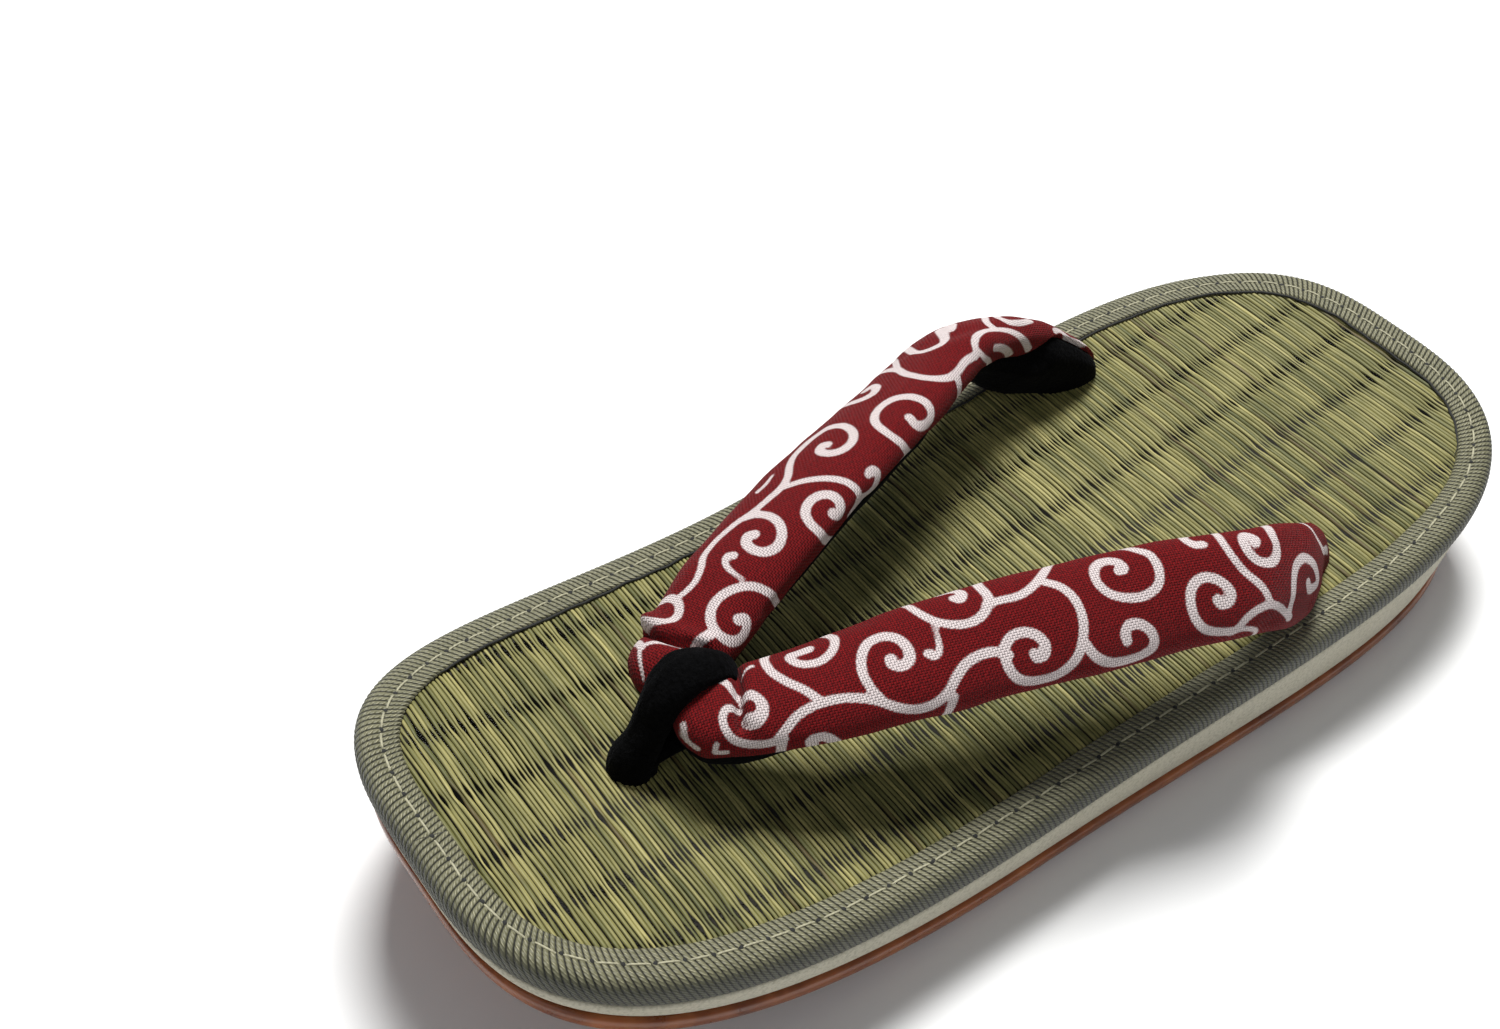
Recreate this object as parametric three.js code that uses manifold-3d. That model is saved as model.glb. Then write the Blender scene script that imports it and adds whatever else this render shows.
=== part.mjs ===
import * as THREE from 'three';
import { mergeVertices } from 'three/addons/utils/BufferGeometryUtils.js';
import Module from 'manifold-3d';

// Toe post sandal with a woven mat footbed, millimetres.
// +Y points to the toe, +X to the wearer's right, Z = 0 is the floor.

const wasm = await Module();
wasm.setup();

// Plan outline of the seam that holds the binding tape. Every other outline is this one moved
// outwards (positive) or inwards (negative) by an offset.
const seam = {
  halfLength: 125,
  halfWidth: 44.8,
  toeTaper: 3.0,
  endFlare: 6.4,
  toePower: 3.5,
  heelPower: 3.1,
  points: 72,
};

// Side profile: a flat tread, a toe that curls up and a slightly lifted heel edge.
const profile = {
  toeStart: 28,
  toeRise: 23,
  toePower: 1.8,
  heelStart: -104,
  heelRise: 2.2,
  middleHeight: 24.7,
  wedge: 7.4,
};

const gap = 0.3;
const holeGap = 0.5;
const outsoleHeight = 5;
const matHeight = 5.3;
const tapeHeight = 6.8;

// Rings of the four layers: offset from the seam, with a lift above the tread or a drop below
// the top of the mat. The foam has a low plateau that fills the middle of the tape, the mat is
// sunk at its edge for the upper flange of the tape, and the tape is a C section round that edge.
const outsoleRings = [
  { offset: 2.3, lift: outsoleHeight },
  { offset: 3.2, lift: 4.1 },
  { offset: 3.4, lift: 2.8 },
  { offset: 3.0, lift: 1.3 },
  { offset: 2.1, lift: 0.4 },
  { offset: 0.7, lift: 0 },
];
const midsoleRings = [
  { offset: -0.6, drop: matHeight + gap },
  { offset: -0.6, drop: 7.15 },
  { offset: 3.6, drop: 7.15 },
  { offset: 3.9, drop: 7.95 },
  { offset: 2.6, lift: 5.8 },
  { offset: 2.1, lift: outsoleHeight + gap },
];
const matRings = [
  { offset: -3.5, drop: 0 },
  { offset: -3.5, drop: 0.9 },
  { offset: 2.4, drop: 0.9 },
  { offset: 3.3, drop: 1.9 },
  { offset: 3.5, drop: 4.5 },
  { offset: 2.9, drop: matHeight },
];
const tapeRings = [
  { offset: -3.1, drop: -0.3 },
  { offset: 2.3, drop: -0.3 },
  { offset: 3.8, drop: 0.3 },
  { offset: 4.6, drop: 1.6 },
  { offset: 4.7, drop: 4.8 },
  { offset: 4.3, drop: 6.2 },
  { offset: 3.2, drop: tapeHeight },
  { offset: -0.2, drop: tapeHeight },
  { offset: -0.2, drop: 5.9 },
  { offset: 3.2, drop: 5.7 },
  { offset: 3.8, drop: 4.8 },
  { offset: 3.7, drop: 1.9 },
  { offset: 2.8, drop: 0.6 },
  { offset: -3.1, drop: 0.6 },
];

// Tread: depths are measured up from the floor side of the sole.
const tread = {
  rimInner: -4,
  grooveInner: -6.2,
  panelEdge: -5.6,
  grooveDepth: 1.5,
  panelDepth: 0.8,
  cutBelow: 1,
  dashStart: 104,
  dashCount: 7,
  dashShare: 0.6,
};
const plate = { step: 12, tip: 0.05, shortest: 0.5 };
const slab = { side: 70, end: 140, low: -5, high: 60 };
const toePad = {
  edge: 84,
  curl: { x: -20, y: 94, radius: 8, core: 6.6 },
  finger: { x: 15, halfWidth: 7, back: 72, front: 100, radius: 7 },
};
const heelPad = {
  front: -56,
  grooveWiden: 1.2,
  inner: { x: 0, halfWidth: 25, back: -88, front: -16, radius: 14 },
};
const gripBars = { x: [-14, 0, 14], halfWidth: 3.8, back: 22, front: 71, radius: 3.7 };
const crossRib = { x: 0, halfWidth: 30, back: -43.6, front: -40.4, radius: 1.6 };

// Strap arm of the wearer's right side from the front joint to the rear anchor. The lift is
// measured from the mat, and the roll turns the flat face outwards.
const strapRows = [
  { x: 4.3, y: 79.6, lift: 12.8, roll: 0, halfWidth: 5.6, halfThick: 4.4 },
  { x: 5.8, y: 75.0, lift: 14.2, roll: -2, halfWidth: 7.8, halfThick: 5.6 },
  { x: 8.6, y: 68.0, lift: 16.0, roll: -3, halfWidth: 8.8, halfThick: 5.6 },
  { x: 13.9, y: 56, lift: 20.0, roll: -6, halfWidth: 10.1, halfThick: 5.6 },
  { x: 22.7, y: 30, lift: 24.3, roll: -18, halfWidth: 11, halfThick: 5.6 },
  { x: 31.4, y: 2, lift: 23.5, roll: -26, halfWidth: 11, halfThick: 5.6 },
  { x: 40.4, y: -26, lift: 20.8, roll: -38, halfWidth: 10.3, halfThick: 5.6 },
  { x: 40.2, y: -43, lift: 11.4, roll: -64, halfWidth: 10.4, halfThick: 5.2 },
  { x: 36.2, y: -54.5, lift: 2.3, roll: -78, halfWidth: 9.0, halfThick: 4.4 },
  { x: 35.6, y: -58, lift: -4.4, roll: -84, halfWidth: 8.4, halfThick: 4.2 },
];
const strap = {
  stations: 22,
  sides: 14,
  squareness: 0.85,
  wall: 1.0,
  hem: 22,
  skirt: 0.8,
  upperSteps: 9,
  openEnd: 1.5,
};

// Velvet loop: up out of the mat, over the front joint of the strap and down behind it, then
// back under the joint to the post.
const postRows = [
  { y: 85.6, lift: -9, halfWidth: 4.0, halfThick: 4.4 },
  { y: 85.6, lift: -1, halfWidth: 4.4, halfThick: 4.8 },
  { y: 85.2, lift: 2.5, halfWidth: 4.4, halfThick: 4.5 },
  { y: 83.2, lift: 7, halfWidth: 4.0, halfThick: 3.4 },
  { y: 81.2, lift: 12, halfWidth: 4.0, halfThick: 3.0 },
  { y: 78.8, lift: 17.4, halfWidth: 4.5, halfThick: 3.1 },
  { y: 74.8, lift: 21.2, halfWidth: 4.9, halfThick: 3.2 },
  { y: 70.2, lift: 22.0, halfWidth: 4.8, halfThick: 3.0 },
  { y: 65.6, lift: 19.6, halfWidth: 4.4, halfThick: 2.8 },
  { y: 63.4, lift: 14.6, halfWidth: 4.2, halfThick: 2.6 },
];
const postReturnRows = [
  { y: 63.3, lift: 15.6, halfWidth: 4.1, halfThick: 2.4 },
  { y: 63.9, lift: 10.4, halfWidth: 4.1, halfThick: 2.3 },
  { y: 68, lift: 7.4, halfWidth: 4.1, halfThick: 2.2 },
  { y: 75, lift: 5.6, halfWidth: 4.1, halfThick: 2.2 },
  { y: 83.5, lift: 3.4, halfWidth: 3.9, halfThick: 2.2 },
];
const post = { stations: 19, returnStations: 10, sides: 12, squareness: 0.9 };

function rise(distance, length, height, power) {
  return height * Math.pow(Math.max(0, distance) / length, power);
}

function treadZ(y) {
  const toe = rise(y - profile.toeStart, seam.halfLength - profile.toeStart, profile.toeRise, profile.toePower);
  const heel = rise(profile.heelStart - y, seam.halfLength + profile.heelStart, profile.heelRise, 2);
  return toe + heel;
}

function matZ(y) {
  return treadZ(y) + profile.middleHeight - profile.wedge * y / seam.halfLength;
}

function seamPoint(angle) {
  const sine = Math.sin(angle);
  const power = sine > 0 ? seam.toePower : seam.heelPower;
  const u = Math.sign(sine) * Math.pow(Math.abs(sine), 2 / power);
  const half = seam.halfWidth - seam.toeTaper * u + seam.endFlare * u * u;
  return new THREE.Vector2(half * Math.pow(Math.max(0, Math.cos(angle)), 2 / power), u * seam.halfLength);
}

// Evenly spaced points of the whole seam with their outward normals, toe first, clockwise from above.
function makeSeamLoop() {
  const fine = [];
  const fineCount = 1200;
  for (let i = 0; i <= fineCount; i += 1) {
    fine.push(seamPoint(Math.PI / 2 - Math.PI * i / fineCount));
  }
  const lengths = [0];
  for (let i = 1; i < fine.length; i += 1) {
    lengths.push(lengths[i - 1] + fine[i].distanceTo(fine[i - 1]));
  }
  const half = seam.points / 2;
  const right = [];
  let k = 1;
  for (let i = 0; i < half; i += 1) {
    const target = (i + 0.5) / half * lengths[fineCount];
    while (lengths[k] < target) {
      k += 1;
    }
    const along = fine[k].clone().sub(fine[k - 1]).normalize();
    const share = (target - lengths[k - 1]) / (lengths[k] - lengths[k - 1]);
    const point = fine[k - 1].clone().lerp(fine[k], share);
    right.push({ x: point.x, y: point.y, nx: -along.y, ny: along.x });
  }
  const left = right.map((p) => ({ x: -p.x, y: p.y, nx: -p.nx, ny: p.ny })).reverse();
  return right.concat(left);
}

const seamLoop = makeSeamLoop();

function ring(offset, height) {
  return seamLoop.map((p) => {
    const y = p.y + p.ny * offset;
    return new THREE.Vector3(p.x + p.nx * offset, y, height(y));
  });
}

const overTread = (lift) => (y) => treadZ(y) + lift;

function ringStack(rows) {
  return rows.map(({ offset, lift, drop }) => (
    ring(offset, drop === undefined ? overTread(lift) : (y) => matZ(y) - drop)
  ));
}

// Closed skin over a list of loops. Loops that don't close on the first one get end faces made of
// strips between the points of index i and count - 1 - i.
function skin(loops, closed = false) {
  const count = loops[0].length;
  const positions = loops.flat().flatMap((p) => [p.x, p.y, p.z]);
  const indices = [];
  const quad = (a, b, c, d) => indices.push(a, b, c, a, c, d);
  const last = closed ? loops.length : loops.length - 1;
  for (let row = 0; row < last; row += 1) {
    const next = (row + 1) % loops.length;
    for (let i = 0; i < count; i += 1) {
      const j = (i + 1) % count;
      quad(row * count + i, row * count + j, next * count + j, next * count + i);
    }
  }
  if (!closed) {
    const end = (loops.length - 1) * count;
    for (let i = 0; i < count / 2 - 1; i += 1) {
      const j = count - 1 - i;
      quad(j, j - 1, i + 1, i);
      quad(end + i, end + i + 1, end + j - 1, end + j);
    }
  }
  return toSolid(positions, indices);
}

function toSolid(positions, indices) {
  const at = (i) => new THREE.Vector3().fromArray(positions, 3 * i);
  let volume = 0;
  for (let i = 0; i < indices.length; i += 3) {
    volume += at(indices[i]).dot(at(indices[i + 1]).cross(at(indices[i + 2])));
  }
  const turned = [];
  for (let i = 0; i < indices.length; i += 3) {
    const [a, b, c] = indices.slice(i, i + 3);
    turned.push(a, volume < 0 ? c : b, volume < 0 ? b : c);
  }
  const mesh = new wasm.Mesh({
    numProp: 3,
    vertProperties: Float32Array.from(positions),
    triVerts: Uint32Array.from(turned),
  });
  mesh.merge();
  return new wasm.Manifold(mesh);
}

// Plate with round corners that follows the curl of the tread, built from strips across the shoe.
function bentPlate(shape, low, high) {
  const { x, halfWidth, back, front, radius } = shape;
  const stations = [];
  const corner = (angle) => {
    const inset = radius * (1 - Math.sin(angle));
    const along = radius * (1 - Math.cos(angle));
    return [Math.max(plate.tip, halfWidth - inset), along];
  };
  const turns = [0, 0.25, 0.5, 0.75, 1].map((share) => corner(share * Math.PI / 2));
  turns.forEach(([half, along]) => stations.push([half, back + along]));
  const straight = front - back - 2 * radius;
  const steps = Math.ceil(straight / plate.step);
  for (let i = 1; i < steps; i += 1) {
    stations.push([halfWidth, back + radius + straight * i / steps]);
  }
  const ending = straight > plate.shortest ? turns.slice().reverse() : turns.slice(0, -1).reverse();
  ending.forEach(([half, along]) => stations.push([half, front - along]));
  return skin(stations.map(([half, y]) => {
    const z = treadZ(y);
    return [[-half, low], [half, low], [half, high], [-half, high]]
      .map(([across, lift]) => new THREE.Vector3(x + across, y, z + lift));
  }));
}

// Point of the seam loop at a place between two of its corners.
function seamAt(place) {
  const wrapped = (place + 2 * seam.points) % seam.points;
  const a = seamLoop[Math.floor(wrapped)];
  const b = seamLoop[(Math.floor(wrapped) + 1) % seam.points];
  const share = wrapped - Math.floor(wrapped);
  const mix = (key) => a[key] + (b[key] - a[key]) * share;
  return { x: mix('x'), y: mix('y'), nx: mix('nx'), ny: mix('ny') };
}

// Band that follows the seam between two offsets, from one place of the loop to another.
function bandAlongSeam(from, to, inner, outer, low, high) {
  const places = [from];
  for (let i = Math.floor(from) + 1; i < to; i += 1) {
    places.push(i);
  }
  places.push(to);
  return skin(places.map((place) => {
    const p = seamAt(place);
    const corner = (offset, lift) => {
      const y = p.y + p.ny * offset;
      return new THREE.Vector3(p.x + p.nx * offset, y, treadZ(y) + lift);
    };
    return [corner(inner, low), corner(outer, low), corner(outer, high), corner(inner, high)];
  }));
}

// Block that takes in the whole sole between two places along its length.
function slabBetween(back, front) {
  const geometry = new THREE.BoxGeometry(2 * slab.side, front - back, slab.high - slab.low);
  geometry.translate(0, (back + front) / 2, (slab.low + slab.high) / 2);
  geometry.deleteAttribute('normal');
  geometry.deleteAttribute('uv');
  const merged = mergeVertices(geometry);
  return toSolid(Array.from(merged.getAttribute('position').array), Array.from(merged.index.array));
}

// Gum rubber outsole: rounded rim, ring groove, dashes round the toe and raised pads.
function makeOutsole() {
  let sole = skin(ringStack(outsoleRings));
  const toeIndex = seamLoop.findIndex((p) => p.y < tread.dashStart);
  const cut = (from, to) => {
    const band = bandAlongSeam(from, to, tread.grooveInner, tread.rimInner, -tread.cutBelow, tread.grooveDepth);
    sole = sole.subtract(band);
  };
  cut(toeIndex, seam.points - 1 - toeIndex);
  const pitch = 2 * toeIndex / tread.dashCount;
  for (let i = 0; i < tread.dashCount; i += 1) {
    const from = -toeIndex - 0.5 + (i + 0.5 - tread.dashShare / 2) * pitch;
    cut(from, from + tread.dashShare * pitch);
  }
  return sole.subtract(makePanel());
}

// Sunk panel between the toe pad and the heel pad, with the bars and the rib left standing.
function makePanel() {
  const low = -tread.cutBelow;
  const depth = tread.panelDepth;
  const sunk = (shape) => bentPlate(shape, low, depth);
  const kept = (shape) => bentPlate(shape, 2 * low, depth + 1);
  let panel = skin([ring(tread.panelEdge, overTread(low)), ring(tread.panelEdge, overTread(depth))]);
  panel = panel.subtract(slabBetween(toePad.edge, slab.end));
  panel = panel.add(sunk(toePad.finger));
  panel = panel.add(sunk(disc(toePad.curl)).subtract(kept(disc({ ...toePad.curl, radius: toePad.curl.core }))));
  const padEdge = tread.grooveInner - heelPad.grooveWiden;
  const pad = skin([ring(padEdge, overTread(2 * low)), ring(padEdge, overTread(depth + 1))])
    .intersect(slabBetween(-slab.end, heelPad.front))
    .subtract(bentPlate(heelPad.inner, 3 * low, depth + 2));
  panel = panel.subtract(pad);
  for (const x of gripBars.x) {
    panel = panel.subtract(kept({ ...gripBars, x }));
  }
  return panel.subtract(kept(crossRib));
}

function disc({ x, y, radius }) {
  return { x, halfWidth: radius, back: y - radius, front: y + radius, radius };
}

function tableCurve(rows, read) {
  const points = rows.map(read);
  const curve = new THREE.CatmullRomCurve3(points, false, 'centripetal');
  return { point: (t) => curve.getPoint(t), tangent: (t) => curve.getTangent(t) };
}

// Loops of a tube whose section is drawn in the plane across a curve: side is the wide
// direction, face the direction of the upper face.
function tubeLoops(frames, section) {
  return frames.map((frame) => section(frame).map(([wide, high]) => frame.centre.clone()
    .addScaledVector(frame.side, wide).addScaledVector(frame.face, high)));
}

// Points of a squared oval between two angles in degrees, both ends included.
function arc(halfWidth, halfThick, from, to, steps, squareness) {
  const bend = (value) => Math.sign(value) * Math.pow(Math.abs(value), squareness);
  return Array.from({ length: steps + 1 }, (_, i) => {
    const angle = THREE.MathUtils.degToRad(from + (to - from) * i / steps);
    return [halfWidth * bend(Math.cos(angle)), halfThick * bend(Math.sin(angle))];
  });
}

function oval(halfWidth, halfThick, sides, squareness) {
  const half = 180 / sides;
  return arc(halfWidth, halfThick, half, 360 - half, sides - 1, squareness);
}

function strapFrames() {
  const path = tableCurve(strapRows, (r) => new THREE.Vector3(r.x, r.y, matZ(r.y) + r.lift));
  const size = tableCurve(strapRows, (r) => new THREE.Vector3(r.roll, r.halfWidth, r.halfThick));
  const frames = [];
  for (let i = 0; i < strap.stations; i += 1) {
    const t = i / (strap.stations - 1);
    const tangent = path.tangent(t);
    const values = size.point(t);
    const up = new THREE.Vector3(0, 0, 1).addScaledVector(tangent, -tangent.z).normalize();
    const side = new THREE.Vector3().crossVectors(tangent, up);
    const roll = THREE.MathUtils.degToRad(values.x);
    up.applyAxisAngle(tangent, roll);
    side.applyAxisAngle(tangent, roll);
    frames.push({ centre: path.point(t), tangent, side, face: up, halfWidth: values.y, halfThick: values.z });
  }
  return frames;
}

const armFrames = strapFrames();

function bothArms(section, frames = armFrames) {
  const loops = tubeLoops(frames, section);
  const mirrored = loops.map((loop) => loop.map((p) => new THREE.Vector3(-p.x, p.y, p.z)));
  return skin(loops).add(skin(mirrored));
}

function armOval(frame, growth) {
  return oval(frame.halfWidth + growth, frame.halfThick + growth, strap.sides, strap.squareness);
}

// Upper side of the arm, trimmed inwards, from one hem of the cloth to the other.
function upperArc(frame, trim) {
  const { halfWidth, halfThick } = frame;
  return arc(halfWidth - trim, halfThick - trim, -strap.hem, 180 + strap.hem, strap.upperSteps, strap.squareness);
}

// Hollow of the cloth, which opens wide below its hems.
function clothHollow(frame) {
  const upper = upperArc(frame, strap.wall);
  const [hemWide] = upper[0];
  const foot = -frame.halfThick - strap.skirt;
  return [[hemWide, foot], ...upper, [-hemWide, foot]];
}

// Stuffed core with its velvet underside, which swells down to the level of the hems.
function paddingSection(frame) {
  const trim = strap.wall + gap;
  const lower = arc(frame.halfWidth - trim, frame.halfThick, 180 + strap.hem, 360 - strap.hem, 5, strap.squareness);
  return [...upperArc(frame, trim), ...lower.slice(1, -1)];
}

// The skirt of the hollow reaches under the arm, so the end frames are pushed out along the arm.
function stretchedFrames(distance) {
  const frames = armFrames.map((frame) => ({ ...frame, centre: frame.centre.clone() }));
  frames[0].centre.addScaledVector(frames[0].tangent, -distance);
  const last = frames[frames.length - 1];
  last.centre.addScaledVector(last.tangent, distance);
  return frames;
}

function makeCover() {
  const outer = bothArms((frame) => armOval(frame, 0));
  return outer.subtract(bothArms(clothHollow, stretchedFrames(strap.openEnd)));
}

function loopTube(rows, stations, growth) {
  const path = tableCurve(rows, (r) => new THREE.Vector3(0, r.y, matZ(r.y) + r.lift));
  const size = tableCurve(rows, (r) => new THREE.Vector3(r.halfWidth, r.halfThick, 0));
  const frames = [];
  for (let i = 0; i < stations; i += 1) {
    const t = i / (stations - 1);
    const values = size.point(t);
    const side = new THREE.Vector3(1, 0, 0);
    const face = new THREE.Vector3().crossVectors(side, path.tangent(t)).normalize();
    frames.push({ centre: path.point(t), side, face, halfWidth: values.x + growth, halfThick: values.y + growth });
  }
  frames[0].centre.z -= growth;
  return skin(tubeLoops(frames, (frame) => oval(frame.halfWidth, frame.halfThick, post.sides, post.squareness)));
}

function makeToePost() {
  const loop = loopTube(postRows, post.stations, 0).add(loopTube(postReturnRows, post.returnStations, 0));
  return loop.subtract(bothArms((frame) => armOval(frame, gap), stretchedFrames(gap)));
}

const toePost = makeToePost();
const cover = makeCover();
const padding = bothArms(paddingSection);
const holes = bothArms((frame) => armOval(frame, holeGap), stretchedFrames(holeGap))
  .add(loopTube(postRows, post.stations, holeGap));

function addMesh(group, name, solid, material) {
  const mesh = solid.getMesh();
  const geometry = new THREE.BufferGeometry();
  geometry.setAttribute('position', new THREE.BufferAttribute(mesh.vertProperties, 3));
  geometry.setIndex(new THREE.BufferAttribute(mesh.triVerts, 1));
  geometry.computeVertexNormals();
  const node = new THREE.Mesh(geometry, new THREE.MeshStandardMaterial(material));
  node.name = name;
  group.add(node);
}

const sandal = new THREE.Group();
addMesh(sandal, 'outsole', makeOutsole(), { color: 0x8a4a16, roughness: 0.35, metalness: 0 });
addMesh(sandal, 'midsole', skin(ringStack(midsoleRings)).subtract(holes), { color: 0xd8d4c0, roughness: 0.85, metalness: 0 });
addMesh(sandal, 'footbed_mat', skin(ringStack(matRings)).subtract(holes), { color: 0x9a9364, roughness: 0.8, metalness: 0 });
addMesh(sandal, 'binding_tape', skin(ringStack(tapeRings), true).subtract(holes), { color: 0x6c7058, roughness: 0.9, metalness: 0 });
addMesh(sandal, 'strap_padding', padding, { color: 0x0b0a0b, roughness: 1, metalness: 0 });
addMesh(sandal, 'strap_cover', cover, { color: 0x7a1618, roughness: 0.85, metalness: 0 });
addMesh(sandal, 'toe_post', toePost, { color: 0x0b0a0b, roughness: 1, metalness: 0 });

export default sandal;
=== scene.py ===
import bpy
import numpy as np
from mathutils import Matrix, Vector


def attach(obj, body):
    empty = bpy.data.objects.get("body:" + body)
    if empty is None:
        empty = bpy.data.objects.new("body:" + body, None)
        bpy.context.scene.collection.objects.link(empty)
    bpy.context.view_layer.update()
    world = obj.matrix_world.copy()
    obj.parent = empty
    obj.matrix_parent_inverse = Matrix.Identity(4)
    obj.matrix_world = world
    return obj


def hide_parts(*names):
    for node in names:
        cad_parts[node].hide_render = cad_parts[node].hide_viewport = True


# Toe post sandal with a rush mat footbed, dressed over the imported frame.
# Tables are in millimetres, like the part's own; meshes are written in metres.
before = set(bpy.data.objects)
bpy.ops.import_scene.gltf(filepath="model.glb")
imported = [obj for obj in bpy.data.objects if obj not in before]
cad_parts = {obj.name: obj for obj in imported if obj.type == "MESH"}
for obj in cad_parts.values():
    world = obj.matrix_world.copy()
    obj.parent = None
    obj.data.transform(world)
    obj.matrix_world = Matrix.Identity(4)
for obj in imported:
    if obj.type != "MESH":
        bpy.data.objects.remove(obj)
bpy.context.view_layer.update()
print("frame loaded")

mm = 0.001
draw = np.random.default_rng(11)

cameraView = {
    "place": (-144.99, 181.42, 274.52),
    "forward": (0.5378, -0.4410, -0.7185),
    "up": (0.6019, -0.3960, 0.6935),
    "lens": 39.64, "sensor": 36, "nearest": 0.01,
}

# Outline of the tape's seam and side profile of the sole.
shape = {
    "halfLength": 125, "halfWidth": 44.8, "toeTaper": 3.0, "endFlare": 6.4,
    "toePower": 3.5, "heelPower": 3.1, "samples": 16001,
    "toeStart": 28, "toeRise": 23, "toeCurve": 1.8, "heelStart": -104, "heelRise": 2.2,
    "middleHeight": 24.7, "wedge": 7.4,
}


def treadZ(y):
    y = np.asarray(y, float)
    toe = np.maximum(0, y - shape["toeStart"]) / (shape["halfLength"] - shape["toeStart"])
    heel = np.maximum(0, shape["heelStart"] - y) / (shape["halfLength"] + shape["heelStart"])
    return shape["toeRise"] * toe ** shape["toeCurve"] + shape["heelRise"] * heel ** 2


def matZ(y):
    return treadZ(y) + shape["middleHeight"] - shape["wedge"] * np.asarray(y) / shape["halfLength"]


def unit(vectors):
    return vectors / np.linalg.norm(vectors, axis=1)[:, None]


def seamLine(count):
    # evenly spaced points of the seam, their outward normals, the run so far and the whole length
    angle = np.pi / 2 - np.linspace(0, 2 * np.pi, shape["samples"])
    sine, cosine = np.sin(angle), np.cos(angle)
    power = np.where(sine > 0, shape["toePower"], shape["heelPower"])
    u = np.sign(sine) * np.abs(sine) ** (2 / power)
    half = shape["halfWidth"] - shape["toeTaper"] * u + shape["endFlare"] * u * u
    line = np.c_[half * np.sign(cosine) * np.abs(cosine) ** (2 / power), u * shape["halfLength"]]
    run = np.r_[0, np.cumsum(np.hypot(*np.diff(line, axis=0).T))]
    places = np.linspace(0, run[-1], count, endpoint=False)
    points = np.c_[np.interp(places, run, line[:, 0]), np.interp(places, run, line[:, 1])]
    along = unit(np.roll(points, -1, 0) - np.roll(points, 1, 0))
    return points, np.c_[-along[:, 1], along[:, 0]], places, run[-1]


def ringAt(points, normals, offset, height):
    # one loop of the outline, moved out by an offset (a number or one per point)
    offset = np.broadcast_to(offset, len(points))
    flat = points + normals * offset[:, None]
    return np.c_[flat, height(flat[:, 1])]


def overTread(lift):
    return lambda y: treadZ(y) + lift


def underMat(drop):
    return lambda y: matZ(y) - drop


def ringsAt(points, normals, level, rows):
    # one loop of the outline for each row of an offset and a lift or drop
    return [ringAt(points, normals, offset, level(height)) for offset, height in rows]


def smoothStep(low, high, value):
    t = np.clip((value - low) / (high - low), 0, 1)
    return t * t * (3 - 2 * t)


def smoothCurve(rows, t):
    # centripetal curve through the rows of a table, as the part's own curves run
    rows = np.asarray(rows, float)
    spot = (len(rows) - 1) * np.asarray(t)
    i = np.minimum(spot.astype(int), len(rows) - 2)
    w = (spot - i)[:, None]
    wide = np.vstack([2 * rows[0] - rows[1], rows, 2 * rows[-1] - rows[-2]])
    a, b, c, d = wide[i], wide[i + 1], wide[i + 2], wide[i + 3]

    def reach(p, q):
        return np.maximum(((q - p) ** 2).sum(1) ** 0.25, 1e-4)[:, None]

    ab, bc, cd = reach(a, b), reach(b, c), reach(c, d)
    start = ((b - a) / ab - (c - a) / (ab + bc) + (c - b) / bc) * bc
    end = ((c - b) / bc - (d - b) / (bc + cd) + (d - c) / cd) * bc
    return (b + start * w + (3 * c - 3 * b - 2 * start - end) * w ** 2
            + (2 * b - 2 * c + start + end) * w ** 3)


def runAlong(path):
    return np.r_[0, np.cumsum(np.linalg.norm(np.diff(path, axis=0), axis=1))]


noise = {"octaves": 3, "waves": 5, "spread": (0.7, 1.4), "fullTurn": 6.28, "level": 4}


def softNoise(places, size, seed):
    # smooth noise of about -1 to 1 from sums of waves, the same on every run
    picker = np.random.default_rng(seed)
    places = np.asarray(places, float).reshape(len(places), -1)
    total = np.zeros(len(places))
    for octave in range(noise["octaves"]):
        for _ in range(noise["waves"]):
            way = picker.normal(size=places.shape[1])
            way /= np.linalg.norm(way)
            wave = 2 * np.pi * 2 ** octave / size * picker.uniform(*noise["spread"])
            total += np.sin(places @ way * wave + picker.uniform(0, noise["fullTurn"])) / 2 ** octave
    return total / noise["level"]


def gridFaces(rows, columns, wrapColumns=True, wrapRows=False):
    r = np.arange(rows if wrapRows else rows - 1)
    c = np.arange(columns if wrapColumns else columns - 1)
    r, c = np.meshgrid(r, c, indexing="ij")
    r2, c2 = (r + 1) % rows, (c + 1) % columns
    quads = np.stack([r * columns + c, r * columns + c2, r2 * columns + c2, r2 * columns + c], -1)
    return quads.reshape(-1, 4)


def stripCap(count, start):
    # closes a loop that is the same on both sides with strips across it
    i = np.arange(count // 2 - 1)
    j = count - 1 - i
    return np.stack([i, i + 1, j - 1, j], -1) + start


def closedFaces(rows, count):
    # faces between loops of points, with a cap at each end
    return np.vstack([gridFaces(rows, count), stripCap(count, 0),
                      stripCap(count, (rows - 1) * count)[:, ::-1]])


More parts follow.
